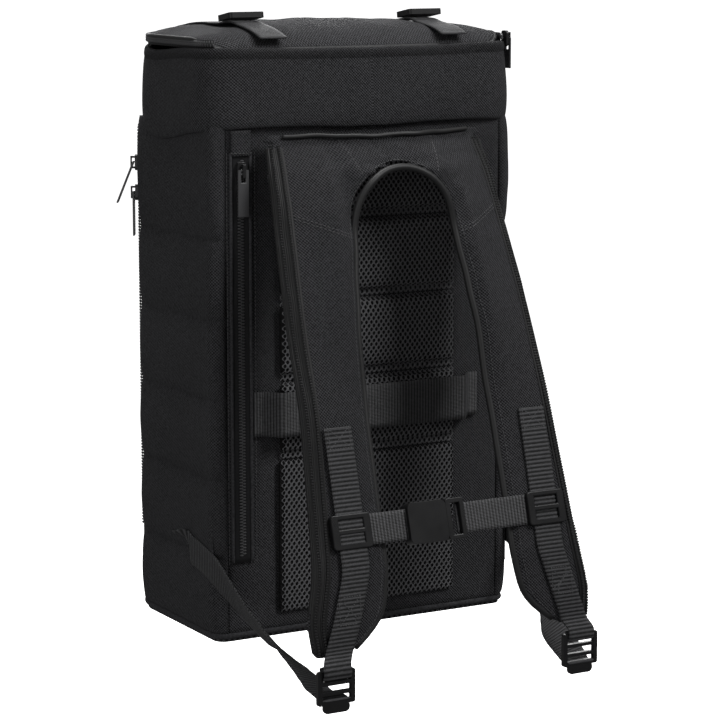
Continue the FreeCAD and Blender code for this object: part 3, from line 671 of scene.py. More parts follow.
# %% [markdown]
# Stitches, zip teeth, webbing ribs and the holes of the spacer mesh all
# repeat, so Geometry Nodes make them. Each recipe below is a small tree with
# named inputs; making a piece runs the tree once and keeps a plain mesh.

# %% recipe kit
class Recipe:
    """A Geometry Nodes tree that turns a guide mesh into a finished one."""

    def __init__(self, name, **inputs):
        self.tree = bpy.data.node_groups.new(name, "GeometryNodeTree")
        sockets = self.tree.interface
        sockets.new_socket("Geometry", in_out="INPUT", socket_type="NodeSocketGeometry")
        self.identifiers = {}
        for label, kind in inputs.items():
            made = sockets.new_socket(label, in_out="INPUT", socket_type=f"NodeSocket{kind}")
            self.identifiers[label] = made.identifier
        sockets.new_socket("Geometry", in_out="OUTPUT", socket_type="NodeSocketGeometry")
        self.start = self.tree.nodes.new("NodeGroupInput")
        self.guide = self.start.outputs[0]

    def value(self, label):
        return self.start.outputs[label]

    def node(self, kind, settings=None, inputs=None, output=0):
        made = self.tree.nodes.new(kind)
        for name, value in (settings or {}).items():
            setattr(made, name, value)
        for name, value in (inputs or {}).items():
            if isinstance(value, bpy.types.NodeSocket):
                self.tree.links.new(value, made.inputs[name])
            else:
                made.inputs[name].default_value = value
        return made.outputs[output]

    def maths(self, operation, first, second=0.0):
        return self.node("ShaderNodeMath", {"operation": operation}, {0: first, 1: second})

    def end(self, geometry):
        whole = self.node("GeometryNodeRealizeInstances", None, {0: geometry})
        inputs = {"Geometry": whole, "Material": self.value("Finish")}
        painted = self.node("GeometryNodeSetMaterial", None, inputs)
        finish = self.tree.nodes.new("NodeGroupOutput")
        self.tree.links.new(painted, finish.inputs[0])
        return self

    def make(self, name, guide, **values):
        """Runs the recipe on a guide and returns a new plain piece; the guide is used up."""
        modifier = guide.modifiers.new("recipe", "NODES")
        modifier.node_group = self.tree
        for label, value in values.items():
            modifier[self.identifiers[label]] = value
        depsgraph = bpy.context.evaluated_depsgraph_get()
        result = guide.evaluated_get(depsgraph)
        mesh = bpy.data.meshes.new_from_object(result, preserve_all_data_layers=True, depsgraph=depsgraph)
        mesh.name = name
        mesh.materials.clear()
        mesh.materials.append(values["Finish"])
        mesh.polygons.foreach_set("material_index", [0] * len(mesh.polygons))
        guide.modifiers.remove(modifier)
        bpy.data.objects.remove(guide)
        piece = placed(name, mesh)
        print(f"{name}: {len(mesh.polygons)} faces by {self.tree.name}")
        return piece


def line_guide(points, outs=None):
    """A path of edges; outs says which way the surface under it faces."""
    mesh = bpy.data.meshes.new("guide")
    mesh.from_pydata([tuple(p) for p in points], [(i, i + 1) for i in range(len(points) - 1)], [])
    faces_out = mesh.attributes.new("faces_out", "FLOAT_VECTOR", "POINT")
    outs = outs if outs is not None else [(0, -1, 0)] * len(points)
    faces_out.data.foreach_set("vector", np.array([tuple(o) for o in outs], float).ravel())
    return placed("guide", mesh)


def along_path(recipe):
    """Points spaced along the guide, with a rotation: X out of the cloth, Z along the path."""
    curve = recipe.node("GeometryNodeMeshToCurve", None, {0: recipe.guide})
    inputs = {"Curve": curve, "Length": recipe.value("Pitch")}
    spaced_out = recipe.node("GeometryNodeResampleCurve", {"mode": "LENGTH"}, inputs)
    out = recipe.node("GeometryNodeInputNamedAttribute", {"data_type": "FLOAT_VECTOR"}, {0: "faces_out"})
    tangent = recipe.node("GeometryNodeInputTangent")
    lined = recipe.node("FunctionNodeAlignRotationToVector", {"axis": "Z"}, {"Vector": tangent})
    turned = recipe.node(
        "FunctionNodeAlignRotationToVector",
        {"axis": "X", "pivot_axis": "Z"},
        {"Rotation": lined, "Vector": out},
    )
    return spaced_out, turned


def bead(recipe, thick, wide, long):
    """A small rounded bar: thick along X, wide along Y and long along Z."""
    ball = recipe.node("GeometryNodeMeshUVSphere", None, {"Segments": 6, "Rings": 4, "Radius": 0.5})
    scale = recipe.node("ShaderNodeCombineXYZ", None, {0: thick, 1: wide, 2: long})
    return recipe.node("GeometryNodeTransform", None, {"Geometry": ball, "Scale": scale})


# %% stitch and teeth recipes
def stitch_recipe():
    recipe = Recipe("stitches", Pitch="Float", Length="Float", Thread="Float", Finish="Material")
    points, turned = along_path(recipe)
    thread = recipe.value("Thread")
    stitch = bead(recipe, thread, thread, recipe.value("Length"))
    inputs = {"Points": points, "Instance": stitch, "Rotation": turned}
    return recipe.end(recipe.node("GeometryNodeInstanceOnPoints", None, inputs))


def teeth_recipe():
    """Teeth of a zip chain, every other one from the other side."""
    recipe = Recipe("zip_teeth", Pitch="Float", Width="Float", Height="Float", Finish="Material")
    points, turned = along_path(recipe)
    width = recipe.value("Width")
    thick = recipe.maths("MULTIPLY", recipe.value("Pitch"), 1.25)
    tooth = bead(recipe, recipe.value("Height"), recipe.maths("MULTIPLY", width, 0.62), thick)
    inputs = {"Points": points, "Instance": tooth, "Rotation": turned}
    chain = recipe.node("GeometryNodeInstanceOnPoints", None, inputs)
    odd = recipe.maths("MODULO", recipe.node("GeometryNodeInputIndex"), 2.0)
    apart = recipe.maths("MULTIPLY", width, 0.42)
    shift = recipe.maths("MULTIPLY", recipe.maths("SUBTRACT", odd, 0.5), apart)
    offset = recipe.node("ShaderNodeCombineXYZ", None, {1: shift})
    inputs = {"Instances": chain, "Translation": offset, "Local Space": True}
    return recipe.end(recipe.node("GeometryNodeTranslateInstances", None, inputs))


# %% rib and mesh recipes
def rib_recipe():
    """Cross ribs on webbing: waves along the attribute called along, highest away from the edges."""
    recipe = Recipe("webbing_ribs", Pitch="Float", Height="Float", Finish="Material")
    along = recipe.node("GeometryNodeInputNamedAttribute", {"data_type": "FLOAT"}, {0: "along"})
    firm = recipe.node("GeometryNodeInputNamedAttribute", {"data_type": "FLOAT"}, {0: "firm"})
    turn = recipe.maths("MULTIPLY", recipe.maths("DIVIDE", along, recipe.value("Pitch")), math.pi)
    crown = recipe.maths("ABSOLUTE", recipe.maths("SINE", turn))
    raised = recipe.maths("MULTIPLY", recipe.maths("MULTIPLY", crown, firm), recipe.value("Height"))
    normal = recipe.node("GeometryNodeInputNormal")
    inputs = {0: normal, "Scale": raised}
    offset = recipe.node("ShaderNodeVectorMath", {"operation": "SCALE"}, inputs)
    moved = recipe.node("GeometryNodeSetPosition", None, {"Geometry": recipe.guide, "Offset": offset})
    # The crown is kept for the webbing finish, which uses it for a painted highlight on each rib's crown and
    # painted shade in the valleys between ribs.
    inputs = {"Geometry": moved, "Name": "crown", "Value": crown}
    return recipe.end(recipe.node("GeometryNodeStoreNamedAttribute", {"data_type": "FLOAT"}, inputs))


def mesh_recipe():
    """Spacer mesh: one knitted cell repeated on a staggered lattice and laid on the pad behind it."""
    recipe = Recipe("spacer_mesh", Cell="Object", Lattice="Object", Proud="Float", Finish="Material")
    cell = recipe.node("GeometryNodeObjectInfo", None, {0: recipe.value("Cell")}, output="Geometry")
    lattice = recipe.node("GeometryNodeObjectInfo", None, {0: recipe.value("Lattice")}, output="Geometry")
    inputs = {"Points": lattice, "Instance": cell}
    cells = recipe.node("GeometryNodeInstanceOnPoints", None, inputs)
    net = recipe.node("GeometryNodeRealizeInstances", None, {0: cells})
    net = recipe.node("GeometryNodeMergeByDistance", None, {"Geometry": net, "Distance": 0.00005})
    place = recipe.node("GeometryNodeInputPosition")
    split = recipe.node("ShaderNodeSeparateXYZ", None, {0: place})
    outputs = split.node.outputs
    start = recipe.node("ShaderNodeCombineXYZ", None, {0: outputs[0], 1: -1.0, 2: outputs[2]})
    inputs = {
        "Target Geometry": recipe.guide,
        "Source Position": start,
        "Ray Direction": (0, 1, 0),
        "Ray Length": 3.0,
    }
    ray = recipe.node("GeometryNodeRaycast", None, inputs)
    ray_outputs = ray.node.outputs
    found = recipe.node("ShaderNodeSeparateXYZ", None, {0: ray_outputs["Hit Position"]})
    depth = recipe.maths("SUBTRACT", found.node.outputs[1], recipe.value("Proud"))
    depth = recipe.maths("ADD", depth, outputs[1])
    laid = recipe.node("ShaderNodeCombineXYZ", None, {0: outputs[0], 1: depth, 2: outputs[2]})
    missed = recipe.node("FunctionNodeBooleanMath", {"operation": "NOT"}, {0: ray_outputs["Is Hit"]})
    inputs = {"Geometry": net, "Selection": missed}
    net = recipe.node("GeometryNodeDeleteGeometry", {"domain": "POINT"}, inputs)
    return recipe.end(recipe.node("GeometryNodeSetPosition", None, {"Geometry": net, "Position": laid}))


STITCHES = stitch_recipe()
TEETH = teeth_recipe()
RIBS = rib_recipe()
SPACER_MESH = mesh_recipe()
print("recipes", [recipe.tree.name for recipe in (STITCHES, TEETH, RIBS, SPACER_MESH)])

# %% stitches and webbing made with the recipes
WEBBING_WIDE = 25 * MM


def sew(name, points, outs=None, thread=DARK_THREAD, pitch=3.6 * MM, length=2.7 * MM, thick=0.7 * MM):
    guide = line_guide(points, outs)
    return STITCHES.make(name, guide, Pitch=pitch, Length=length, Thread=thick, Finish=thread)


def ribbon(name, route, width, finish=WEBBING, pitch=3.0 * MM, rib=0.35 * MM, thick=1.3 * MM, columns=8):
    """Webbing along a route of (middle, direction across) pairs, with real cross ribs."""
    middles = smooth_path([middle for middle, _ in route], 0.75 * MM)
    acrosses = [Vector(across).normalized() for _, across in route]
    lengths = np.cumsum([0] + [(b[0] - a[0]).length for a, b in zip(route, route[1:])])
    travelled = np.cumsum([0] + [(b - a).length for a, b in zip(middles, middles[1:])])
    travelled = travelled * (lengths[-1] / travelled[-1])
    rows = []
    for spot, distance in zip(middles, travelled):
        index = min(int(np.searchsorted(lengths, distance, side="right")) - 1, len(route) - 2)
        share = (distance - lengths[index]) / max(lengths[index + 1] - lengths[index], 1e-9)
        share = share * share * (3 - 2 * share)
        across = acrosses[index].lerp(acrosses[index + 1], min(share, 1.0)).normalized()
        rows.append([spot + across * width * (column / columns - 0.5) for column in range(columns + 1)])
    piece = skin(name, rows, finish, thick)
    mesh = piece.data
    count = len(rows) * (columns + 1)
    along = np.tile(np.repeat(travelled, columns + 1), 2)
    edge = np.minimum(np.arange(columns + 1), columns - np.arange(columns + 1)) > 0
    firm = np.tile(np.tile(edge * 1.0, len(rows)), 2)
    for label, values in (("along", along), ("firm", firm)):
        attribute = mesh.attributes.new(label, "FLOAT", "POINT")
        attribute.data.foreach_set("value", values[: 2 * count].astype(np.float32))
    return RIBS.make(name, piece, Pitch=pitch, Height=rib, Finish=finish)


def smooth_path(points, step):
    """Even points on a smooth curve through a few given ones."""
    points = [Vector(p) for p in points]
    fine = []
    for index in range(len(points) - 1):
        before = points[max(index - 1, 0)]
        first = points[index]
        second = points[index + 1]
        after = points[min(index + 2, len(points) - 1)]
        for share in np.linspace(0, 1, 24, endpoint=False):
            a = (second - before) * 0.5
            b = (after - first) * 0.5
            squared = share * share
            cubed = squared * share
            spot = first * (2 * cubed - 3 * squared + 1) + a * (cubed - 2 * squared + share)
            fine.append(spot + second * (3 * squared - 2 * cubed) + b * (cubed - squared))
    fine.append(points[-1])
    lengths = np.cumsum([0] + [(b - a).length for a, b in zip(fine, fine[1:])])
    wanted = np.linspace(0, lengths[-1], max(2, int(lengths[-1] / step)) + 1)
    fine = np.array([tuple(p) for p in fine])
    return [Vector(p) for p in np.stack([np.interp(wanted, lengths, fine[:, axis]) for axis in range(3)], 1)]


def tube(name, points, radius, finish, sides=8, closed=False):
    """A round cord through points, its ends capped unless it closes on itself."""
    points = [Vector(p) for p in points]
    rows = []
    side = None
    count = len(points)
    for index, spot in enumerate(points):
        before = points[index - 1] if index or closed else spot
        after = points[(index + 1) % count] if index < count - 1 or closed else spot
        heading = (after - before).normalized()
        if side is None:
            side = heading.orthogonal().normalized()
        side = (side - heading * side.dot(heading)).normalized()
        other = heading.cross(side)
        turns = [TURN * step / sides for step in range(sides)]
        rows.append([spot + (side * math.cos(t) + other * math.sin(t)) * radius for t in turns])
    faces = []
    for row in range(count if closed else count - 1):
        for step in range(sides):
            after = (step + 1) % sides
            ahead = (row + 1) % count
            quad = (row * sides + step, row * sides + after, ahead * sides + after, ahead * sides + step)
            faces.append(quad)
    if not closed:
        faces.append(tuple(range(sides))[::-1])
        faces.append(tuple((count - 1) * sides + step for step in range(sides)))
    return new_piece(name, [corner for row in rows for corner in row], faces, [finish])

# %% [markdown]
# Where the walls meet the bottom, both are sewn together and bound, which
# leaves a soft round ridge. A bevel on the walls could suggest it; a cord of
# the same cloth carried round the plan shows the ridge and hides the joint.

# %% seam round the base
BASE_SEAM = 2.9 * MM
line = []
for distance in np.linspace(0, ROUND, 300, endpoint=False):
    spot, _ = walk(distance, -BASE_SEAM + 0.4 * MM)
    line.append(BASE + Vector((spot.x, spot.y, BASE_SEAM)))
settle(tube("base_seam", line, BASE_SEAM, PACK_CLOTH, 12, closed=True), "bag", "pack_fabric")

# %% [markdown]
# The collar is a padded band sewn upside down over the walls, so its lower
# edge is a fold that droops a little and its upper edge ends in a hem beside
# the lid's zip. Its section is one closed outline, carried round the plan.

# %% collar
TOP_PLAN = {"rear": 27 * MM, "front": 68 * MM}
TOP_ROUND = 2 * sum(length for length, _ in plan_runs(**TOP_PLAN))
COLLAR_SECTION = [
    (-3.0, 0.065),
    (0.0, 0.02),
    (3.2, -0.012),
    (5.6, 0.0),
    (7.0, 0.05),
    (7.6, 0.14),
    (7.6, 0.30),
    (7.0, 0.50),
    (6.2, 0.70),
    (5.6, 0.82),
    (5.0, 0.865),
    (5.7, 0.885),
    (5.6, 0.94),
    (4.9, 0.985),
    (2.6, 1.0),
    (-1.5, 0.99),
    (-4.0, 0.96),
    (-4.2, 0.5),
]
HEM_ROWS = (10, 15)


def off_centre(distance):
    """Distance round the top from the middle of the back, the same on both sides."""
    return abs((distance + TOP_ROUND / 2) % TOP_ROUND - TOP_ROUND / 2)


def droop(distance):
    """How far the collar's lower fold hangs below its seam at a place round the pack."""
    off = off_centre(distance)
    side = math.exp(-((off - 0.225) / 0.06) ** 2) * 11 * MM
    return side + wave(off * 25, 0, 0, 3) * 1.2 * MM + 1 * MM * math.cos(off * 30)


def rim_height(distance):
    off = off_centre(distance)
    sag = 2.6 * MM * math.cos(min(off / (130 * MM), 1.0) * math.pi / 2)
    side = 5 * MM * math.exp(-((off - 0.235) / 0.05) ** 2)
    return wave(off * 18, 4, 0, 9) * 1.0 * MM - sag - side


def collar_rows():
    rows = []
    tall = COLLAR_HIGH - COLLAR_LOW
    stations = np.linspace(0, TOP_ROUND, 300, endpoint=False)
    for grow, share in COLLAR_SECTION:
        row = []
        part = min(max(share, 0), 1)
        for distance in stations[::-1]:
            soft = wave(distance * 16, share * 1.3, 0, 21) * 2.0 * MM
            soft += wave(distance * 45, share * 3, 2, 22) * 0.7 * MM
            stand = grow * MM - 0.8 * MM + (soft * math.sin(math.pi * part) if grow > 3 else 0)
            spot, _ = walk(distance, stand, **TOP_PLAN)
            height = COLLAR_LOW + share * tall
            height += rim_height(distance) * share - droop(distance) * (1 - part) ** 2
            row.append(BASE + Vector((spot.x, spot.y, height)))
        rows.append(row)
    return rows


def closed_ring(name, rows, finishes, bands=()):
    """Joins the last row of a loop to the first; bands of rows take the second finish."""
    piece = skin(name, rows + [rows[0]], finishes[0], loop=True)
    for finish in finishes[1:]:
        piece.data.materials.append(finish)
    columns = len(rows[0])
    for first, last in bands:
        for face in range(first * columns, last * columns):
            piece.data.polygons[face].material_index = 1
    whole = bmesh.new()
    whole.from_mesh(piece.data)
    bmesh.ops.remove_doubles(whole, verts=whole.verts, dist=0.00001)
    whole.to_mesh(piece.data)
    whole.free()
    return piece


def subdivided(piece):
    modifier = piece.modifiers.new("smooth", "SUBSURF")
    modifier.levels = 1
    modifier.render_levels = 1
    return piece


collar = closed_ring("collar_band", collar_rows(), [PACK_CLOTH, HEM_CLOTH], [HEM_ROWS])
subdivided(collar)
settle(collar, "bag", "pack_fabric", "collar")

# %% [markdown]
# The lid is a shallow dome of the same cloth, piped round its rim. Straps
# sewn across it hold loose gear, and they draw the cloth into small gathers.

# %% lid
LID_LOW, LID_HIGH = local("lid_panel")
LID_RISE = LID_HIGH.z - LID_LOW.z
LID_TUCK = 7 * MM
LID_DROP = 9 * MM


def tucked(y):
    """1 along the back, where the lid goes down behind the hem, and 0 elsewhere."""
    share = min(max((-y - 50 * MM) / (32 * MM), 0.0), 1.0)
    return share * share * (3 - 2 * share)


LID_RIM = []
for distance in np.linspace(0, TOP_ROUND, 240, endpoint=False):
    spot, _ = walk(distance, 1.5 * MM, **TOP_PLAN)
    LID_RIM.append(walk(distance, 1.5 * MM - LID_TUCK * tucked(spot.y), **TOP_PLAN)[0])
GEAR_PLACE = centre("gear_strap_right").x
GEAR_BUCKLE_Y = centre("gear_buckle_right").y
RIM_TURNS = sorted((math.atan2(spot.y, spot.x), spot.length) for spot in LID_RIM)


def lid_share(x, y):
    """0 at the middle of the lid and 1 at its rim."""
    reach = np.interp(math.atan2(y, x), *zip(*RIM_TURNS), period=TURN)
    return math.hypot(x, y) / reach


def lid_height(x, y):
    """Height of the lid's cloth above its rim."""
    share = lid_share(x, y)
    dome = LID_RISE * 1.05 * max(1 - share ** 2.6, 0.0) ** 0.7
    pinch = math.exp(-((abs(x) - GEAR_PLACE) / (16 * MM)) ** 2) * 1.6 * MM
    ripple = wave(x * 28, y * 22, 0, 31) * 1.8 * MM + wave(x * 75, y * 30, 0, 32) * 0.7 * MM
    return dome + (ripple - pinch) * min(1.0, max(1 - share, 0.0) * 5)


rings = []
for share in np.linspace(0.004, 1.0, 46):
    ring = []
    for spot in LID_RIM:
        x, y = spot * share
        tuck = LID_DROP * tucked(y) * share ** 6
        ring.append(BASE + Vector((x, y, LID_LOW.z + lid_height(x, y) - tuck)))
    rings.append(ring)
lid = skin("lid_cloth", rings, PACK_CLOTH, 3.2 * MM, loop=True, inner=LINING)
flat_places = np.array([tuple(corner.co) for corner in lid.data.vertices])
lay_map(lid.data, flat_places[:, 0], flat_places[:, 1])
settle(lid, "lid", "pack_fabric", "lid_panel")
piping = tube("lid_piping", rings[-1], 1.9 * MM, EDGE_TAPE, closed=True)
settle(piping, "lid", "pack_fabric")

# %% [markdown]
# Two lengths of webbing hold loose gear on the lid, lifted a little where
# they pass through their buckles. Each follows the lid's own height formula,
# so it can't sink into the cloth.

# %% gear straps
LADDER_LIFT = 2.2 * MM
for side, name in ((-1, "left"), (1, "right")):
    x = GEAR_PLACE * side
    route = []
    for y in np.linspace(HALF_Y - 1 * MM, 1 * MM - HALF_Y, 14):
        lift = 1.8 * MM + LADDER_LIFT * math.exp(-((y - GEAR_BUCKLE_Y) / (16 * MM)) ** 2)
        route.append((BASE + Vector((x, y, LID_LOW.z + lid_height(x, y) + lift)), (-1, 0, 0)))
    strap = ribbon(f"gear_webbing_{name}", route, WEBBING_WIDE)
    settle(strap, "lid", "webbing", f"gear_strap_{name}")

# %% [markdown]
# A zip is two rows of teeth on a narrow tape. The teeth recipe sets them
# alternately from the left and the right of a line, which is how a closed
# chain looks. One runs round the lid, one round the door and one up the side.

# %% lid zip and front zip
CHAIN_WIDTH = 6 * MM


def zip_chain(name, points, outs=None, pitch=1.3 * MM, width=CHAIN_WIDTH, height=2.4 * MM):
    guide = line_guide(points, outs)
    return TEETH.make(name, guide, Pitch=pitch, Width=width, Height=height, Finish=TOOTH_PLASTIC)


def round_line(distances, heights, grow, **plan):
    points = []
    outs = []
    for distance, height in zip(distances, heights):
        spot, out = walk(distance, grow, **plan)
        points.append(BASE + Vector((spot.x, spot.y, height)))
        outs.append((out.x, out.y, 0))
    return points, outs


distances = spaced(140 * MM, TOP_ROUND - 140 * MM, 3 * MM)
lid_chain_height = centre("lid_zip_teeth").z
points, outs = round_line(distances, [lid_chain_height] * len(distances), 2.4 * MM, **TOP_PLAN)
chain = zip_chain("lid_zip_chain", points, outs, 1.25 * MM, 5 * MM, 2.2 * MM)
rows = []
for height in (lid_chain_height - 4.2 * MM, lid_chain_height, lid_chain_height + 3.4 * MM):
    rows.append(round_line(distances[::-1], [height] * len(distances), 1.4 * MM, **TOP_PLAN)[0])
tape = skin("lid_zip_tape", rows, ZIP_TAPE, 0.8 * MM)
settle(joined("lid_zip", chain, tape), "bag", "zip_teeth", "lid_zip_teeth")

ARCH_TOP = COLLAR_LOW - 6 * MM


def arch_line(inset, step):
    """Up the left chain, across under the collar and down the right, with rounded corners."""
    corner = 10 * MM
    left = CHAIN_LINE + inset
    top = ARCH_TOP - inset
    line = [(left, h) for h in spaced(DOOR_LOW, top - corner, step)]
    for turn in np.linspace(0, math.pi / 2, 8)[1:-1]:
        line.append((left + corner * (1 - math.cos(turn)), top - corner * (1 - math.sin(turn))))
    line += [(d, top) for d in spaced(left + corner, ROUND - left - corner, step)]
    for distance, height in line[::-1]:
        if height < top:
            line.append((ROUND - distance, height))
    return line


line = arch_line(0.0, 3 * MM)
points, outs = round_line(*zip(*line), 0.9 * MM)
chain = zip_chain("front_zip_chain", points, outs)
settle(chain, "bag", "zip_teeth", "front_zip_teeth")
rows = [round_line(*zip(*arch_line(inset, 3 * MM)), -0.2 * MM)[0] for inset in (-5.3 * MM, 0.0, 5 * MM)]
shortest = min(len(row) for row in rows)
rows = [[row[int(round(i * (len(row) - 1) / (shortest - 1)))] for i in range(shortest)] for row in rows]
settle(skin("front_zip_tape_cloth", rows, ZIP_TAPE, 0.8 * MM), "bag", "zip_tape", "front_zip_tape")

# %% [markdown]
# The back has four foam pads and a flatter panel under spacer mesh. Foam is
# the one thing here that really swells, so each pad is a slightly thin block
# that a cloth simulation blows up against its sewn edge. The mesh is then
# laid over it cell by cell, so its holes are holes and the foam shows through.
# The lower panel is too thin to swell and keeps the shape it was cut to.

# %% swelling by simulation
def block(name, near, far, finish, rounding):
    """A box between two corners with rounded edges, ready to be swelled."""
    whole = bmesh.new()
    bmesh.ops.create_cube(whole, size=1.0)
    middle = (near + far) / 2
    for corner in whole.verts:
        corner.co = middle + Vector([c * s for c, s in zip(corner.co, far - near)])
    bmesh.ops.bevel(whole, geom=whole.edges[:], offset=rounding, segments=3, affect="EDGES")
    mesh = bpy.data.meshes.new(name)
    whole.to_mesh(mesh)
    whole.free()
    mesh.materials.append(finish)
    return placed(name, mesh)


def bake_modifiers(piece):
    """Replaces a piece's mesh with what its modifiers make of it."""
    depsgraph = bpy.context.evaluated_depsgraph_get()
    made = bpy.data.meshes.new_from_object(piece.evaluated_get(depsgraph), depsgraph=depsgraph)
    piece.modifiers.clear()
    old = piece.data
    piece.data = made
    bpy.data.meshes.remove(old)
    made.polygons.foreach_set("use_smooth", [True] * len(made.polygons))
    return piece


def places(mesh):
    flat = np.zeros(len(mesh.vertices) * 3)
    mesh.vertices.foreach_get("co", flat)
    return flat.reshape(-1, 3)


FRAMES = 20


def swell(piece, voxel, cap, held, pressure=4.0):
    """Blows a closed pad up with cloth; held says which points are sewn down."""
    remesh = piece.modifiers.new("remesh", "REMESH")
    remesh.mode = "VOXEL"
    remesh.voxel_size = voxel
    bake_modifiers(piece)
    start = places(piece.data)
    pins = piece.vertex_groups.new(name="sewn")
    pins.add([i for i, spot in enumerate(start) if held(spot)], 1.0, "REPLACE")
    cloth = piece.modifiers.new("cloth", "CLOTH")
    cloth.settings.vertex_group_mass = "sewn"
    cloth.settings.use_pressure = True
    cloth.settings.uniform_pressure_force = pressure
    cloth.settings.effector_weights.gravity = 0
    cloth.settings.quality = 5
    cloth.point_cache.frame_start = 1
    cloth.point_cache.frame_end = FRAMES
    scene = bpy.context.scene
    for step in range(1, FRAMES + 1):
        scene.frame_set(step)
    bake_modifiers(piece)
    moved = places(piece.data) - start
    far = np.linalg.norm(moved, axis=1, keepdims=True)
    moved *= np.minimum(1.0, cap / np.maximum(far, 1e-9))
    piece.data.vertices.foreach_set("co", (start + moved).ravel())
    piece.vertex_groups.clear()
    scene.frame_set(1)
    print(f"{piece.name}: cloth moved up to {far.max() / MM:.1f} mm, kept {min(cap, far.max()) / MM:.1f}")
    return piece


def space_map(piece, first, second):
    """A map in metres from two of the piece's own axes, for cloth that was remeshed."""
    spots = places(piece.data)
    lay_map(piece.data, spots[:, first], spots[:, second])


# %% back pads
CELL_WIDE = 4.8 * MM
CELL_TALL = 3.2 * MM
PAD_NODES = [f"mesh_pad_{count}" for count in (1, 2, 3, 4)] + ["mesh_panel_lower"]


def knitted_cell():
    """One opening of the mesh: a hexagon whose inside slopes into an upright oval hole."""
    half = CELL_WIDE / 2
    outline = [
        (0, 2.5 * MM),
        (half / 2, 1.6 * MM),
        (half, 0.7 * MM),
        (half, 0),
        (half, -0.7 * MM),
        (half / 2, -1.6 * MM),
    ]
    outline += [(-x, -z) for x, z in outline]
    corners = []
    for scale, depth in ((1.0, 0.0), (0.84, -0.35 * MM), (None, 0.15 * MM), (None, 1.3 * MM)):
        for x, z in outline:
            turn = math.atan2(x / 1.45, z / 1.85)
            if scale is None:
                corners.append((1.45 * MM * math.sin(turn), depth, 1.85 * MM * math.cos(turn)))
            else:
                corners.append((x * scale, depth, z * scale))
    faces = []
    for ring in range(3):
        for step in range(12):
            after = (step + 1) % 12
            faces.append((ring * 12 + step, ring * 12 + after, ring * 12 + 12 + after, ring * 12 + 12 + step))
    return new_piece("knitted_cell", corners, faces, [MESH_YARN])


def lattice(left, right, bottom, top):
    """Staggered points of the mesh, on rows counted from the pack's base."""
    points = []
    for row in range(int(bottom / CELL_TALL), int(top / CELL_TALL) + 1):
        shift = CELL_WIDE / 2 if row % 2 else 0
        for column in range(int(left / CELL_WIDE), int(right / CELL_WIDE) + 1):
            x = column * CELL_WIDE + shift
            if left <= x <= right:
                points.append(BASE + Vector((x, 0, row * CELL_TALL)))
    points = [Vector((p.x, 0, p.z)) for p in points]
    return new_piece("lattice", points, [], [])


PAD_LEVELS = [local(node) for node in PAD_NODES]
SEWN_BACK = PAD_LEVELS[0][1].y
for index, (node, (near, far)) in enumerate(zip(PAD_NODES, PAD_LEVELS)):
    flat = node == "mesh_panel_lower"
    thin = Vector((1.5 * MM, 1.2 * MM if flat else 2 * MM, 1 * MM))
    rounding = (1.4 if flat else 2.6) * MM
    opposite = BASE + far - Vector((thin.x, 0.4 * MM, thin.z))
    pad = block(f"back_pad_{index + 1}", BASE + near + thin, opposite, PADDING, rounding)
    back_face = BASE.y + SEWN_BACK - 1.6 * MM
    if not flat:
        swell(pad, 4 * MM, 4 * MM, lambda spot: spot[1] > back_face, 3.0)
    space_map(pad, 0, 2)
    groove_top = far.z + 0.5 * MM if index else far.z
    below = PAD_LEVELS[index + 1][1].z + 0.5 * MM if index + 1 < len(PAD_NODES) else near.z
    groove = []
    for z in (below, groove_top):
        groove.append([BASE + Vector((x, SEWN_BACK - 1.2 * MM, z)) for x in (near.x, far.x)])
    groove = skin("pad_groove", groove, PADDING)
    target = joined("pad_target", groove, bpy.data.objects.new("pad_copy", pad.data.copy()))
    cell = knitted_cell()
    grid_points = lattice(near.x + 2 * MM, far.x - 2 * MM, below + 1 * MM, groove_top - 1 * MM)
    net = SPACER_MESH.make("net", target, Cell=cell, Lattice=grid_points, Proud=0.7 * MM, Finish=MESH_YARN)
    for spare in (cell, grid_points):
        bpy.data.objects.remove(spare)
    space_map(net, 0, 2)
    pad = joined(f"back_pad_{index + 1}", pad, net)
    settle(pad, "bag", "mesh", node)

# %% [markdown]
# Webbing stays flat, so it isn't simulated. Its line is read from the plain
# part it replaces: a plane cuts that part at even steps, and each cut gives
# the middle of the webbing and the direction across it.

# %% routes read from the plain parts
def triangles(*nodes):
    """Corners of every triangle of some plain parts, from the middle of the pack's base."""
    found = []
    for node in nodes:
        mesh = frame["nodes"][node].data
        mesh.calc_loop_triangles()
        corner = np.zeros(len(mesh.loop_triangles) * 3, int)
        mesh.loop_triangles.foreach_get("vertices", corner)
        found.append((places(mesh) - np.array(BASE))[corner.reshape(-1, 3)])
    return np.concatenate(found)


def cut(shapes, axis, level):
    """Segments where a plane crosses the triangles."""
    side = shapes[:, :, axis] - level
    found = []
    for corners, away in zip(shapes, side):
        if away.min() >= 0 or away.max() <= 0:
            continue
        ends = []
        for first, second in ((0, 1), (1, 2), (2, 0)):
            if away[first] * away[second] < 0:
                share = away[first] / (away[first] - away[second])
                ends.append(corners[first] + (corners[second] - corners[first]) * share)
        if len(ends) == 2:
            found.append(ends)
    return np.array(found)


def strip_route(node, axis, count, lift=(0, 0, 0)):
    shapes = triangles(node)
    low = shapes[:, :, axis].min() + 0.4 * MM
    high = shapes[:, :, axis].max() - 0.4 * MM
    route = []
    for level in np.linspace(low, high, count):
        spots = cut(shapes, axis, level).reshape(-1, 3)
        middle = (spots.max(0) + spots.min(0)) / 2
        across = np.linalg.svd(spots - spots.mean(0), full_matrices=False)[2][0]
        if route and across @ np.array(route[-1][1]) < 0:
            across = -across
        route.append((BASE + Vector(middle) + Vector(lift), Vector(across)))
    return route


# %% [markdown]
# The harness is one horseshoe of foam in cloth: two straps that meet in a
# yoke over a rounded opening. Its outline is read from the plain straps, the
# edges are drawn in, and the cloth simulation fills it out.

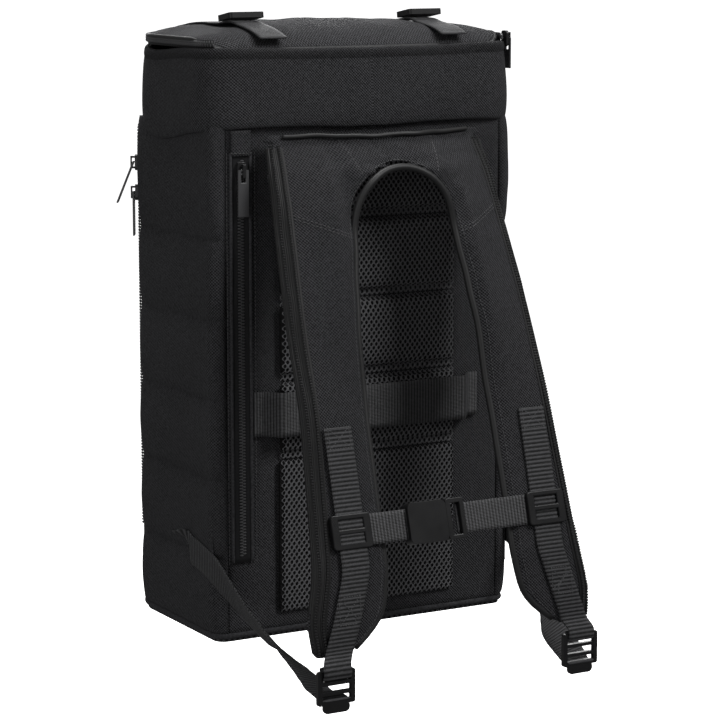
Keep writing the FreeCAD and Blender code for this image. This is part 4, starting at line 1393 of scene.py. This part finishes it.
# %% outline of the harness
OPENING = 48 * MM
OPENING_HEIGHT = 352 * MM
HARNESS_TOP = local("yoke_bridge")[1].z
HARNESS_LOW = local("shoulder_strap_right")[0].z
HARNESS_SHAPES = triangles("shoulder_strap_right", "strap_binding_right", "yoke_bridge")
PAD_COLUMNS = 15


def sides_at(segments, x):
    """Front and rear of a cut at one place across it."""
    low = segments[:, :, 0].min(1)
    high = segments[:, :, 0].max(1)
    x = min(max(x, low.min() + 0.3 * MM), high.max() - 0.3 * MM)
    for nudge in (0, 0.4, -0.4, 0.8, -0.8, 1.6, -1.6):
        place = x + nudge * MM
        crossed = segments[(low <= place) & (high >= place) & (high - low > 1e-7)]
        if len(crossed):
            x = place
            break
    share = (x - crossed[:, 0, 0]) / (crossed[:, 1, 0] - crossed[:, 0, 0])
    depth = crossed[:, 0, 1] + share * (crossed[:, 1, 1] - crossed[:, 0, 1])
    return depth.min(), depth.max()


def eased(grid, rounds):
    """Smooths a table of numbers along its rows."""
    for _ in range(rounds):
        padded = np.concatenate([grid[:1], grid, grid[-1:]])
        grid = (padded[:-2] + 2 * padded[1:-1] + padded[2:]) / 4
    return grid


heights = list(np.linspace(HARNESS_LOW + 1 * MM, OPENING_HEIGHT, 70))
heights += [OPENING_HEIGHT + OPENING * math.sin(turn) for turn in np.linspace(0, math.pi / 2, 14)[1:]]
heights += list(np.linspace(OPENING_HEIGHT + OPENING, HARNESS_TOP - 1 * MM, 7)[1:])
inner, outer, front, rear = [], [], [], []
for height in heights:
    segments = cut(HARNESS_SHAPES, 2, height + 0.01 * MM)
    inside = segments[:, :, 0].clip(0).min()
    if height > OPENING_HEIGHT:
        inside = math.sqrt(max(OPENING ** 2 - (height - OPENING_HEIGHT) ** 2, 0.0))
    outside = segments[:, :, 0].max()
    if height < HARNESS_LOW + 20 * MM:
        narrow = 9 * MM * (1 - (height - HARNESS_LOW) / (20 * MM)) ** 2
        inside += narrow
        outside -= narrow
    found = []
    for share in np.linspace(0, 1, PAD_COLUMNS):
        found.append(sides_at(segments, inside + (outside - inside) * share))
    inner.append(inside)
    outer.append(outside)
    front.append([pair[0] for pair in found])
    rear.append([pair[1] for pair in found])
inner, outer = np.array(inner), eased(np.array(outer), 6)
front = eased(eased(np.array(front), 8).T, 2).T
rear = eased(eased(np.array(rear), 8).T, 2).T
print("harness outline", len(heights), "levels")

# %% harness pad
share = np.linspace(0, 1, PAD_COLUMNS)
crown = 1 - (2 * share - 1) ** 4
middle = (front + rear) / 2
half = np.maximum((rear - front) / 2, 2.4 * MM) * (0.55 + 0.45 * crown)
corners = []
for mirror in (1, -1):
    for row in range(len(heights)):
        across = inner[row] + (outer[row] - inner[row]) * share
        if inner[row] < 0.5 * MM:
            across[0] = -1 * MM
        ring = [(x, middle[row][i] - half[row][i]) for i, x in enumerate(across)]
        ring += [(x, middle[row][i] + half[row][i]) for i, x in list(enumerate(across))[::-1]]
        corners += [BASE + Vector((x * mirror, y, heights[row])) for x, y in ring]
around = 2 * PAD_COLUMNS
faces = []
for mirror in range(2):
    start = mirror * len(heights) * around
    made = []
    for row in range(len(heights) - 1):
        for step in range(around):
            a = start + row * around + step
            b = start + row * around + (step + 1) % around
            made.append((a, b, b + around, a + around))
    for row, way in ((0, -1), (len(heights) - 1, 1)):
        for step in range(PAD_COLUMNS - 1):
            a = start + row * around
            quad = (a + step, a + step + 1, a + around - 2 - step, a + around - 1 - step)
            made.append(quad[::way])
    faces += [quad[::-1] for quad in made] if mirror else made
harness = new_piece("harness_pad", corners, faces, [STRAP_CLOTH])
SEWN_TOP = BASE.z + HARNESS_TOP - 6 * MM
swell(harness, 4 * MM, 3 * MM, lambda spot: spot[2] > SEWN_TOP, 3.0)
bake_modifiers(subdivided(harness))
space_map(harness, 0, 2)
if PADDING.name not in harness.data.materials:
    harness.data.materials.append(PADDING)
for face in harness.data.polygons:
    face.material_index = 1 if face.normal.y > 0.35 else 0
print("harness pad", len(harness.data.polygons), "faces")

# %% [markdown]
# A folded tape binds the outer edge of each strap, and a round cord finishes
# the opening and the top of the yoke. The edge is found by rays cast at the
# swelled pad, so the tape follows the pad wherever the simulation moved it.

# %% edges and seams of the harness
PAD_TREE = BVHTree.FromObject(harness, bpy.context.evaluated_depsgraph_get())


def pad_side(x, height, way=1):
    """Depth of the pad's front (way 1) or rear (way -1), or nothing beside it."""
    start = BASE + Vector((x, -1.0 * way, height))
    spot, _, _, _ = PAD_TREE.ray_cast(start, Vector((0, way, 0)))
    return spot.y - BASE.y if spot else None


def pad_edge(x, height, step):
    """Walks from beside the pad towards it until it is met."""
    for _ in range(60):
        if pad_side(x, height) is not None:
            return x
        x += step
    return x


def met_side(x, height, way=1):
    """Depth of the pad at a place, or of the nearest place further in where there is pad."""
    inward = -1 if abs(x) > 70 * MM or height > OPENING_HEIGHT else 1
    for extra in range(14):
        shift = extra * MM * inward * (1 if x > 0 else -1)
        depth = pad_side(x + shift, height, way)
        if depth is not None:
            return depth
    table = front if way > 0 else rear
    return float(np.interp(height, heights, table[:, -1]))


def on_pad(x, height, proud):
    return BASE + Vector((x, met_side(x, height) - proud, height))


def smoothed(points, rounds):
    return [Vector(p) for p in eased(np.array([tuple(p) for p in points]), rounds)]


EDGE_STEPS = ((12, 0), (9, 0), (6, 0), (3.4, 0), (1.4, 0), (-0.9, 1), (1.2, 2), (4.5, 2))
parts = []
for mirror in (1, -1):
    rows = []
    columns = {3.2: [], 8.8: []}
    levels = np.arange(HARNESS_LOW + 5 * MM, HARNESS_TOP - 7 * MM, 3 * MM)
    guesses = np.interp(levels, heights, outer)
    edges = []
    for guess, height in zip(guesses, levels):
        edges.append(pad_edge((guess + 7 * MM) * mirror, height, -0.2 * MM * mirror))
    edges = np.clip(edges, guesses * mirror - 3 * MM, guesses * mirror + 3 * MM)
    for height, edge in zip(levels, eased(edges, 14)):
        row = []
        for inset, kind in EDGE_STEPS:
            x = edge - inset * MM * mirror
            near = met_side(edge - max(inset, 1.2) * MM * mirror, height)
            far = met_side(edge - max(inset, 1.2) * MM * mirror, height, -1)
            depth = (near - 0.9 * MM, (near + far) / 2, far + 0.9 * MM)[kind]
            row.append(BASE + Vector((x, depth, height)))
        rows.append(row if mirror > 0 else row[::-1])
        for inset, line in columns.items():
            line.append(on_pad(edge - inset * MM * mirror, height, 1.8 * MM))
    rows = eased(np.array([[tuple(spot) for spot in row] for row in rows]), 8)
    parts.append(skin("edge_band", rows, EDGE_TAPE, 0.9 * MM))
    for inset, line in columns.items():
        parts.append(sew("edge_ribs", smoothed(line, 3), None, EDGE_TAPE, 2.3 * MM, 2.0 * MM, 2.6 * MM))
band = joined("harness_binding", *parts)
settle(band, "harness", "binding", "strap_binding_left", "strap_binding_right")

# %% inner edge and seams of the harness
INNER_ROUND = OPENING - 1 * MM
inside_line = []
for height in np.arange(HARNESS_LOW + 6 * MM, OPENING_HEIGHT, 6 * MM):
    guess = float(np.interp(height, heights, inner))
    edge = pad_edge(guess - 9 * MM, height, 0.4 * MM)
    inside_line.append((edge, height))
for turn in np.linspace(0, math.pi / 2, 12):
    inside_line.append((INNER_ROUND * math.cos(turn), OPENING_HEIGHT + INNER_ROUND * math.sin(turn)))
points, stitched = [], []
for x, height in inside_line + [(-x, height) for x, height in inside_line[-2::-1]]:
    away = Vector((x, height - OPENING_HEIGHT)) if height > OPENING_HEIGHT else Vector((x, 0))
    away = away.normalized() * 1.6 * MM
    near = pad_side(x + away.x, height + away.y)
    far = pad_side(x + away.x, height + away.y, -1)
    near = near if near is not None else float(np.interp(height, heights, front[:, 0]))
    far = far if far is not None else near + 6 * MM
    points.append(BASE + Vector((x, (near + far) / 2 - 1 * MM, height)))
    away = away * 3.2
    stitched.append(on_pad(x + away.x, height + away.y, 0.3 * MM))
parts = [
    tube("opening_edge", smoothed(points, 3), 3.0 * MM, EDGE_TAPE, 10),
    sew("opening_stitches", smoothed(stitched, 2)),
]
for mirror in (1, -1):
    edge = float(np.interp(350 * MM, heights, outer)) - 12 * MM
    for shift in (0, 2.6 * MM):
        seam = []
        for x in np.linspace(53 * MM, edge, 16):
            rise = 18 * MM * (x - 52 * MM) / (edge - 52 * MM)
            seam.append(on_pad(mirror * x, 343 * MM + shift + rise, 0.2 * MM))
        parts.append(sew("strap_seam", seam))
    seam = []
    for x, height in zip(np.linspace(44 * MM, 36 * MM, 10), np.linspace(HARNESS_TOP - 6 * MM, 394 * MM, 10)):
        seam.append(on_pad(mirror * x, height, 0.2 * MM))
    parts.append(sew("yoke_seam", seam))
top = []
for x in np.linspace(-90 * MM, 90 * MM, 60):
    height = HARNESS_TOP - 2.5 * MM + wave(x * 40, 0, 3, 51) * 1.2 * MM
    depth = met_side(x, height - 5 * MM)
    top.append(BASE + Vector((x, depth + 1.0 * MM, height)))
parts.append(tube("yoke_edge", smoothed(top, 2), 1.9 * MM, EDGE_TAPE, 10))
trim = joined("harness_trim", *parts)
settle(trim, "harness", "binding")
settle(harness, "harness", "harness_fabric", "shoulder_strap_left", "shoulder_strap_right", "yoke_bridge")

# %% [markdown]
# Webbing runs down each strap, through the ladder lock and back under it.
# Its line comes from the plain part and is lifted clear of the swelled pad.
# The boxes of crossed stitches are laid on the finished webbing by rays.

# %% webbing on the straps
LOCK_MIDDLE = {name: centre(f"ladder_lock_{name}") for name in ("left", "right")}


def cross_stitches(place, half_wide, half_tall):
    """The box with a cross that fastens webbing."""
    lines = [
        ((-1, -1), (1, -1)),
        ((-1, 1), (1, 1)),
        ((-1, -1), (-1, 1)),
        ((1, -1), (1, 1)),
        ((-1, -1), (1, 1)),
        ((-1, 1), (1, -1)),
    ]
    made = []
    for first, second in lines:
        points = []
        for share in np.linspace(0, 1, 6):
            across = (first[0] + (second[0] - first[0]) * share) * half_wide
            up = (first[1] + (second[1] - first[1]) * share) * half_tall
            points.append(place(across, up))
        made.append(sew("tack", points, None, DARK_THREAD, 2.2 * MM, 1.9 * MM, 0.8 * MM))
    return made


for name in ("left", "right"):
    route = []
    for spot, across in strip_route(f"strap_webbing_{name}", 2, 22)[::-1]:
        place = spot - BASE
        depth = pad_side(place.x, place.z)
        if depth is not None:
            place.y = min(place.y, depth - 2.2 * MM)
        route.append((BASE + place, across))
    first = route[0][1]
    lock = LOCK_MIDDLE[name]
    across = Vector((1, 0, 0)) if first.x > 0 else Vector((-1, 0, 0))
    for y, z in ((-2.2, 14), (-3.4, 8), (-1.2, 3.5), (2.6, 6), (3.0, 12)):
        route.append((BASE + Vector((lock.x, lock.y + y * MM, z * MM)), across))
    webbing = ribbon(f"strap_webbing_cloth_{name}", route, WEBBING_WIDE, pitch=3.4 * MM, rib=0.8 * MM)
    tree = BVHTree.FromObject(webbing, bpy.context.evaluated_depsgraph_get())
    parts = [webbing]
    for tall, index in ((8, 1), (11, 17)):
        middle = route[index][0]

        def on_webbing(across, up, middle=middle):
            start = Vector((middle.x + across, middle.y - 0.05, middle.z + up))
            spot, _, _, _ = tree.ray_cast(start, Vector((0, 1, 0)))
            return (spot or middle) - Vector((0, 0.3 * MM, 0))

        parts += cross_stitches(on_webbing, 9.5 * MM, tall * MM)
    webbing = joined(f"strap_webbing_cloth_{name}", *parts)
    settle(webbing, "harness", "webbing", f"strap_webbing_{name}", f"lock_loop_{name}")

# %% [markdown]
# Three more bands are webbing: the luggage strap across the back, the chest
# strap, and the pair that pull the straps to the lower corners. That pair
# crosses from the bag to the harness and rides on no body.

# %% luggage strap
LUGGAGE_WIDE = 38 * MM
route = strip_route("luggage_strap", 0, 44, (0, -0.8 * MM, 0))
parts = [ribbon("luggage", route, LUGGAGE_WIDE, pitch=2.8 * MM, rib=0.4 * MM)]
low, high = local("luggage_strap")
for x in (low.x + 4 * MM, low.x + 9 * MM, high.x - 4 * MM, high.x - 9 * MM):
    seam = [BASE + Vector((x, low.y + 12.4 * MM, z)) for z in np.linspace(low.z + 2 * MM, high.z - 2 * MM, 8)]
    parts.append(sew("luggage_seam", seam))
settle(joined("luggage_webbing", *parts), "bag", "webbing", "luggage_strap")

# %% chest webbing
SLIDER_X = centre("chest_slider_right").x
SLIDER_CLEAR = 15 * MM
RELEASE_TRAVEL = 32 * MM
for name, body, mirror in (("left", "chest_left", -1), ("right", "chest_right", 1)):
    route = strip_route(f"chest_webbing_{name}", 0, 8)
    if mirror > 0:
        route = route[::-1]
    first, last = route[0], route[-1]
    start = Vector((BASE.x + mirror * (SLIDER_X - SLIDER_CLEAR), first[0].y, first[0].z))
    hidden = Vector((last[0].x - mirror * 7 * MM, last[0].y, last[0].z))
    route = [(start, first[1])] + route + [(hidden, last[1])]
    webbing = ribbon(f"chest_webbing_cloth_{name}", route, WEBBING_WIDE, pitch=3.0 * MM, rib=0.4 * MM)
    if mirror > 0:
        reach = start.x - hidden.x
        keep = (reach - RELEASE_TRAVEL) / reach
        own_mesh(webbing)
    settle(webbing, body, "webbing", f"chest_webbing_{name}")

# %% lower webbing and its gussets
for name, mirror in (("left", -1), ("right", 1)):
    route = strip_route(f"lower_webbing_{name}", 1, 18)[::-1]
    lock = LOCK_MIDDLE[name]
    last = route[-1][1]
    across = Vector((1, 0, 0)) if last.x > 0 else Vector((-1, 0, 0))
    for y, z in ((5, -15), (1, -18), (-2, -14)):
        route.append((BASE + Vector((lock.x, lock.y + y * MM, z * MM)), across))
    webbing = ribbon(f"lower_webbing_cloth_{name}", route, WEBBING_WIDE, pitch=3.2 * MM, rib=0.4 * MM)
    settle(webbing, None, "webbing", f"lower_webbing_{name}")
    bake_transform(webbing)
    low, high = local(f"anchor_gusset_{name}")
    x = mirror * (HALF_X + 1.8 * MM)
    rows = []
    for share in np.linspace(0, 0.94, 14):
        y = low.y - 3 * MM + (high.y - low.y + 3 * MM) * share
        tip = low.z + (high.z - low.z) * 0.58
        bottom, top = low.z + (tip - low.z) * share, high.z + (tip - high.z) * share
        rows.append([BASE + Vector((x, y, bottom + (top - bottom) * t)) for t in np.linspace(0, 1, 7)])
    if mirror > 0:
        rows = [row[::-1] for row in rows]
    flap = skin(f"gusset_cloth_{name}", rows, PACK_CLOTH, 1.6 * MM)
    parts = [flap]
    for side in (0, -1):
        line = [row[side] + Vector((mirror * 0.3 * MM, 0, 0)) for row in rows]
        parts.append(sew("gusset_seam", line, [(mirror, 0, 0)] * len(line)))
    settle(joined(f"gusset_cloth_{name}", *parts), "bag", "pack_fabric", f"anchor_gusset_{name}")

# %% [markdown]
# The side zip opens the laptop space. Its tape lies between two welts of
# cloth, its teeth come from the same recipe as the others, and a small flap
# of cloth over its end is a garage for the slider.

# %% side zip
tape_low, tape_high = local("side_zip_tape")
chain_low, chain_high = local("side_zip_teeth")
place = centre("side_zip_teeth")
lines = np.linspace(tape_low.z, tape_high.z, 90)
tape_columns = np.linspace(tape_low.x, tape_high.x, 7)
rows = [[BASE + Vector((x, tape_low.y - 0.3 * MM, z)) for x in tape_columns] for z in lines]
tape = skin("tape", rows, ZIP_TAPE, 0.7 * MM)
chain_levels = np.linspace(chain_low.z, chain_high.z, 160)
points = [BASE + Vector((place.x, chain_low.y + 0.6 * MM, z)) for z in chain_levels]
chain = zip_chain("chain", points)
settle(joined("side_zip_chain", chain), "bag", "zip_teeth", "side_zip_teeth")
parts = [tape]
for x in (tape_low.x, tape_high.x):
    welt = [BASE + Vector((x, tape_low.y - 0.4 * MM, z)) for z in lines]
    parts.append(tube("welt", welt, 1.5 * MM, PACK_CLOTH))
    beside = x - 4 * MM if x < place.x else x + 4 * MM
    seam = [BASE + Vector((beside, tape_low.y - 0.9 * MM, z)) for z in lines]
    parts.append(sew("zip_seam", seam))
settle(joined("side_zip_tape_cloth", *parts), "bag", "zip_tape", "side_zip_tape")
low, high = local("zip_garage")
rows = []
for z in np.linspace(low.z - 3 * MM, high.z, 10):
    row = []
    for x in np.linspace(low.x, high.x, 9):
        arch = 1 - ((x - place.x) / (9 * MM)) ** 2
        row.append(BASE + Vector((x, low.y - 0.8 * MM * arch, z)))
    rows.append(row)
flap = skin("garage", rows, PACK_CLOTH, 1.8 * MM)
seam = [spot - Vector((0, 0.3 * MM, 0)) for spot in rows[1]]
settle(joined("side_zip_garage", flap, sew("garage_seam", seam)), "bag", "pack_fabric", "zip_garage")

# %% [markdown]
# Buckles, locks and sliders are moulded or cast, and their shape comes from
# the plain part. A copy has its loose triangles merged, its flat faces made
# whole, and its edges rounded as a mould rounds them.

# %% moulded and cast parts
def finish_hard(node, body, finish, slot, radius=0.6 * MM, tilt=0.0, deeper=1.0):
    whole = bmesh.new()
    whole.from_mesh(frame["nodes"][node].data)
    bmesh.ops.remove_doubles(whole, verts=whole.verts, dist=0.01 * MM)
    bmesh.ops.dissolve_limit(whole, angle_limit=math.radians(2), verts=whole.verts, edges=whole.edges)
    if tilt:
        middle = sum((corner.co for corner in whole.verts), Vector()) / len(whole.verts)
        for corner in whole.verts:
            away = corner.co - middle
            away.z *= deeper
            turned_y = away.y * math.cos(tilt) - away.z * math.sin(tilt)
            turned_z = away.y * math.sin(tilt) + away.z * math.cos(tilt)
            corner.co = middle + Vector((away.x, turned_y, turned_z))
    mesh = bpy.data.meshes.new(f"{node}_moulded")
    whole.to_mesh(mesh)
    whole.free()
    mesh.materials.clear()
    mesh.materials.append(finish)
    piece = placed(f"{node}_moulded", mesh)
    rounding = piece.modifiers.new("rounding", "BEVEL")
    rounding.width = radius
    rounding.segments = 2
    rounding.limit_method = "ANGLE"
    rounding.angle_limit = math.radians(30)
    bake_modifiers(piece)
    piece.data.polygons.foreach_set("use_smooth", [False] * len(piece.data.polygons))
    piece.data.polygons.foreach_set("material_index", [0] * len(piece.data.polygons))
    return settle(piece, body, slot, node)


for name in ("left", "right"):
    finish_hard(f"ladder_lock_{name}", f"lock_{name}", PLASTIC, "buckle_plastic", 0.8 * MM)
    finish_hard(f"chest_slider_{name}", f"chest_{name}", PLASTIC, "buckle_plastic", 0.8 * MM)
    finish_hard(f"gear_buckle_{name}", "lid", PLASTIC, "buckle_plastic", 0.8 * MM, math.radians(-9), 1.25)
finish_hard("buckle_socket", "chest_left", PLASTIC, "buckle_plastic", 1.0 * MM)
finish_hard("buckle_plug", "chest_plug", PLASTIC, "buckle_plastic", 0.6 * MM)

# %% [markdown]
# A slider, a wire link and a rubber pull make each zip's handle. The link has
# no plain part, so it is bent here as a closed loop from the pull's hinge to
# the hole in the pull, and it turns with the pull.

# %% zip sliders, links and pulls
for zip_name in ("side_zip", "front_zip_upper", "front_zip_lower", "lid_zip"):
    finish_hard(f"{zip_name}_slider", f"{zip_name}_slider_body", BLACK_METAL, "zip_metal", 0.5 * MM)
    spots = triangles(f"{zip_name}_pull").reshape(-1, 3)
    finish_hard(f"{zip_name}_pull", f"{zip_name}_pull_body", PULL_RUBBER, "pull_rubber", 0.6 * MM)
    middle = (spots.max(0) + spots.min(0)) / 2
    long, wide, _ = np.linalg.svd(spots - middle, full_matrices=False)[2]
    slider = np.array(centre(f"{zip_name}_slider"))
    if (slider - middle) @ long < 0:
        long = -long
    reach = ((spots - middle) @ long).max()
    hinge = next(joint for joint in frame["joints"] if joint["name"] == f"{zip_name}_pull_flip")
    hinge = np.array(hinge["pos_m"]) - np.array(BASE)
    hole = middle + long * (reach - 3 * MM)
    top = (hinge + hole) / 2
    half_long = np.linalg.norm(hinge - hole) / 2 + 0.8 * MM
    long = (hinge - hole) / np.linalg.norm(hinge - hole)
    loop = []
    for turn in np.linspace(0, TURN, 20, endpoint=False):
        loop.append(BASE + Vector(top + long * half_long * math.cos(turn) + wide * 2.8 * MM * math.sin(turn)))
    link = tube(f"{zip_name}_link", loop, 0.75 * MM, LINK_STEEL, closed=True)
    settle(link, f"{zip_name}_pull_body", "zip_metal")

# %% [markdown]
# Two boards stiffen the back and the base, and two flat sheets of lining make
# the laptop sleeve and the wall in front of it. They are cut flat and sewn
# in at their edges, so they only ripple a little.

# %% inside the pack
for node in ("back_board", "base_board"):
    for slot in frame["nodes"][node].material_slots:
        slot.material = BOARD
for node, name in (("laptop_sleeve", "laptop_sleeve_cloth"), ("divider_wall", "divider_cloth")):
    low, high = local(node)
    rows = []
    for z in np.linspace(low.z + 1 * MM, high.z - 1 * MM, 40):
        row = []
        for x in np.linspace(low.x + 1 * MM, high.x - 1 * MM, 30):
            row.append(BASE + Vector((x, low.y + wave(x * 14, z * 10, 0, 61) * 0.8 * MM, z)))
        rows.append(row)
    sheet = skin(name, rows, LINING, 1.4 * MM)
    settle(sheet, "bag", "lining", node)

# %% [markdown]
# Last comes a pale floor that bounces no light on the pack. The sizes are
# then printed for comparison with the CAD model.

# %% the floor and the finish
floor_mesh = bpy.data.meshes.new("pale_floor")
EXTENT = 30.0
FLOOR_LEVEL = BASE.z - 0.45
floor_corners = [(x * EXTENT, y * EXTENT, FLOOR_LEVEL) for x, y in ((-1, -1), (1, -1), (1, 1), (-1, 1))]
floor_mesh.from_pydata(floor_corners, [], [(0, 1, 2, 3)])
floor_mesh.materials.append(FLOOR_PAINT)
floor = placed("pale_floor", floor_mesh)
floor.visible_diffuse = False
floor.visible_glossy = False
floor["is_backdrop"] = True

VISUAL_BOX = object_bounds()
for axis, letter in enumerate("xyz"):
    low_side = (CAD_BOX[0][axis] - VISUAL_BOX[0][axis]) / MM
    high_side = (VISUAL_BOX[1][axis] - CAD_BOX[1][axis]) / MM
    print(f"{letter}: visual stands {low_side:.1f} mm and {high_side:.1f} mm outside the CAD box")
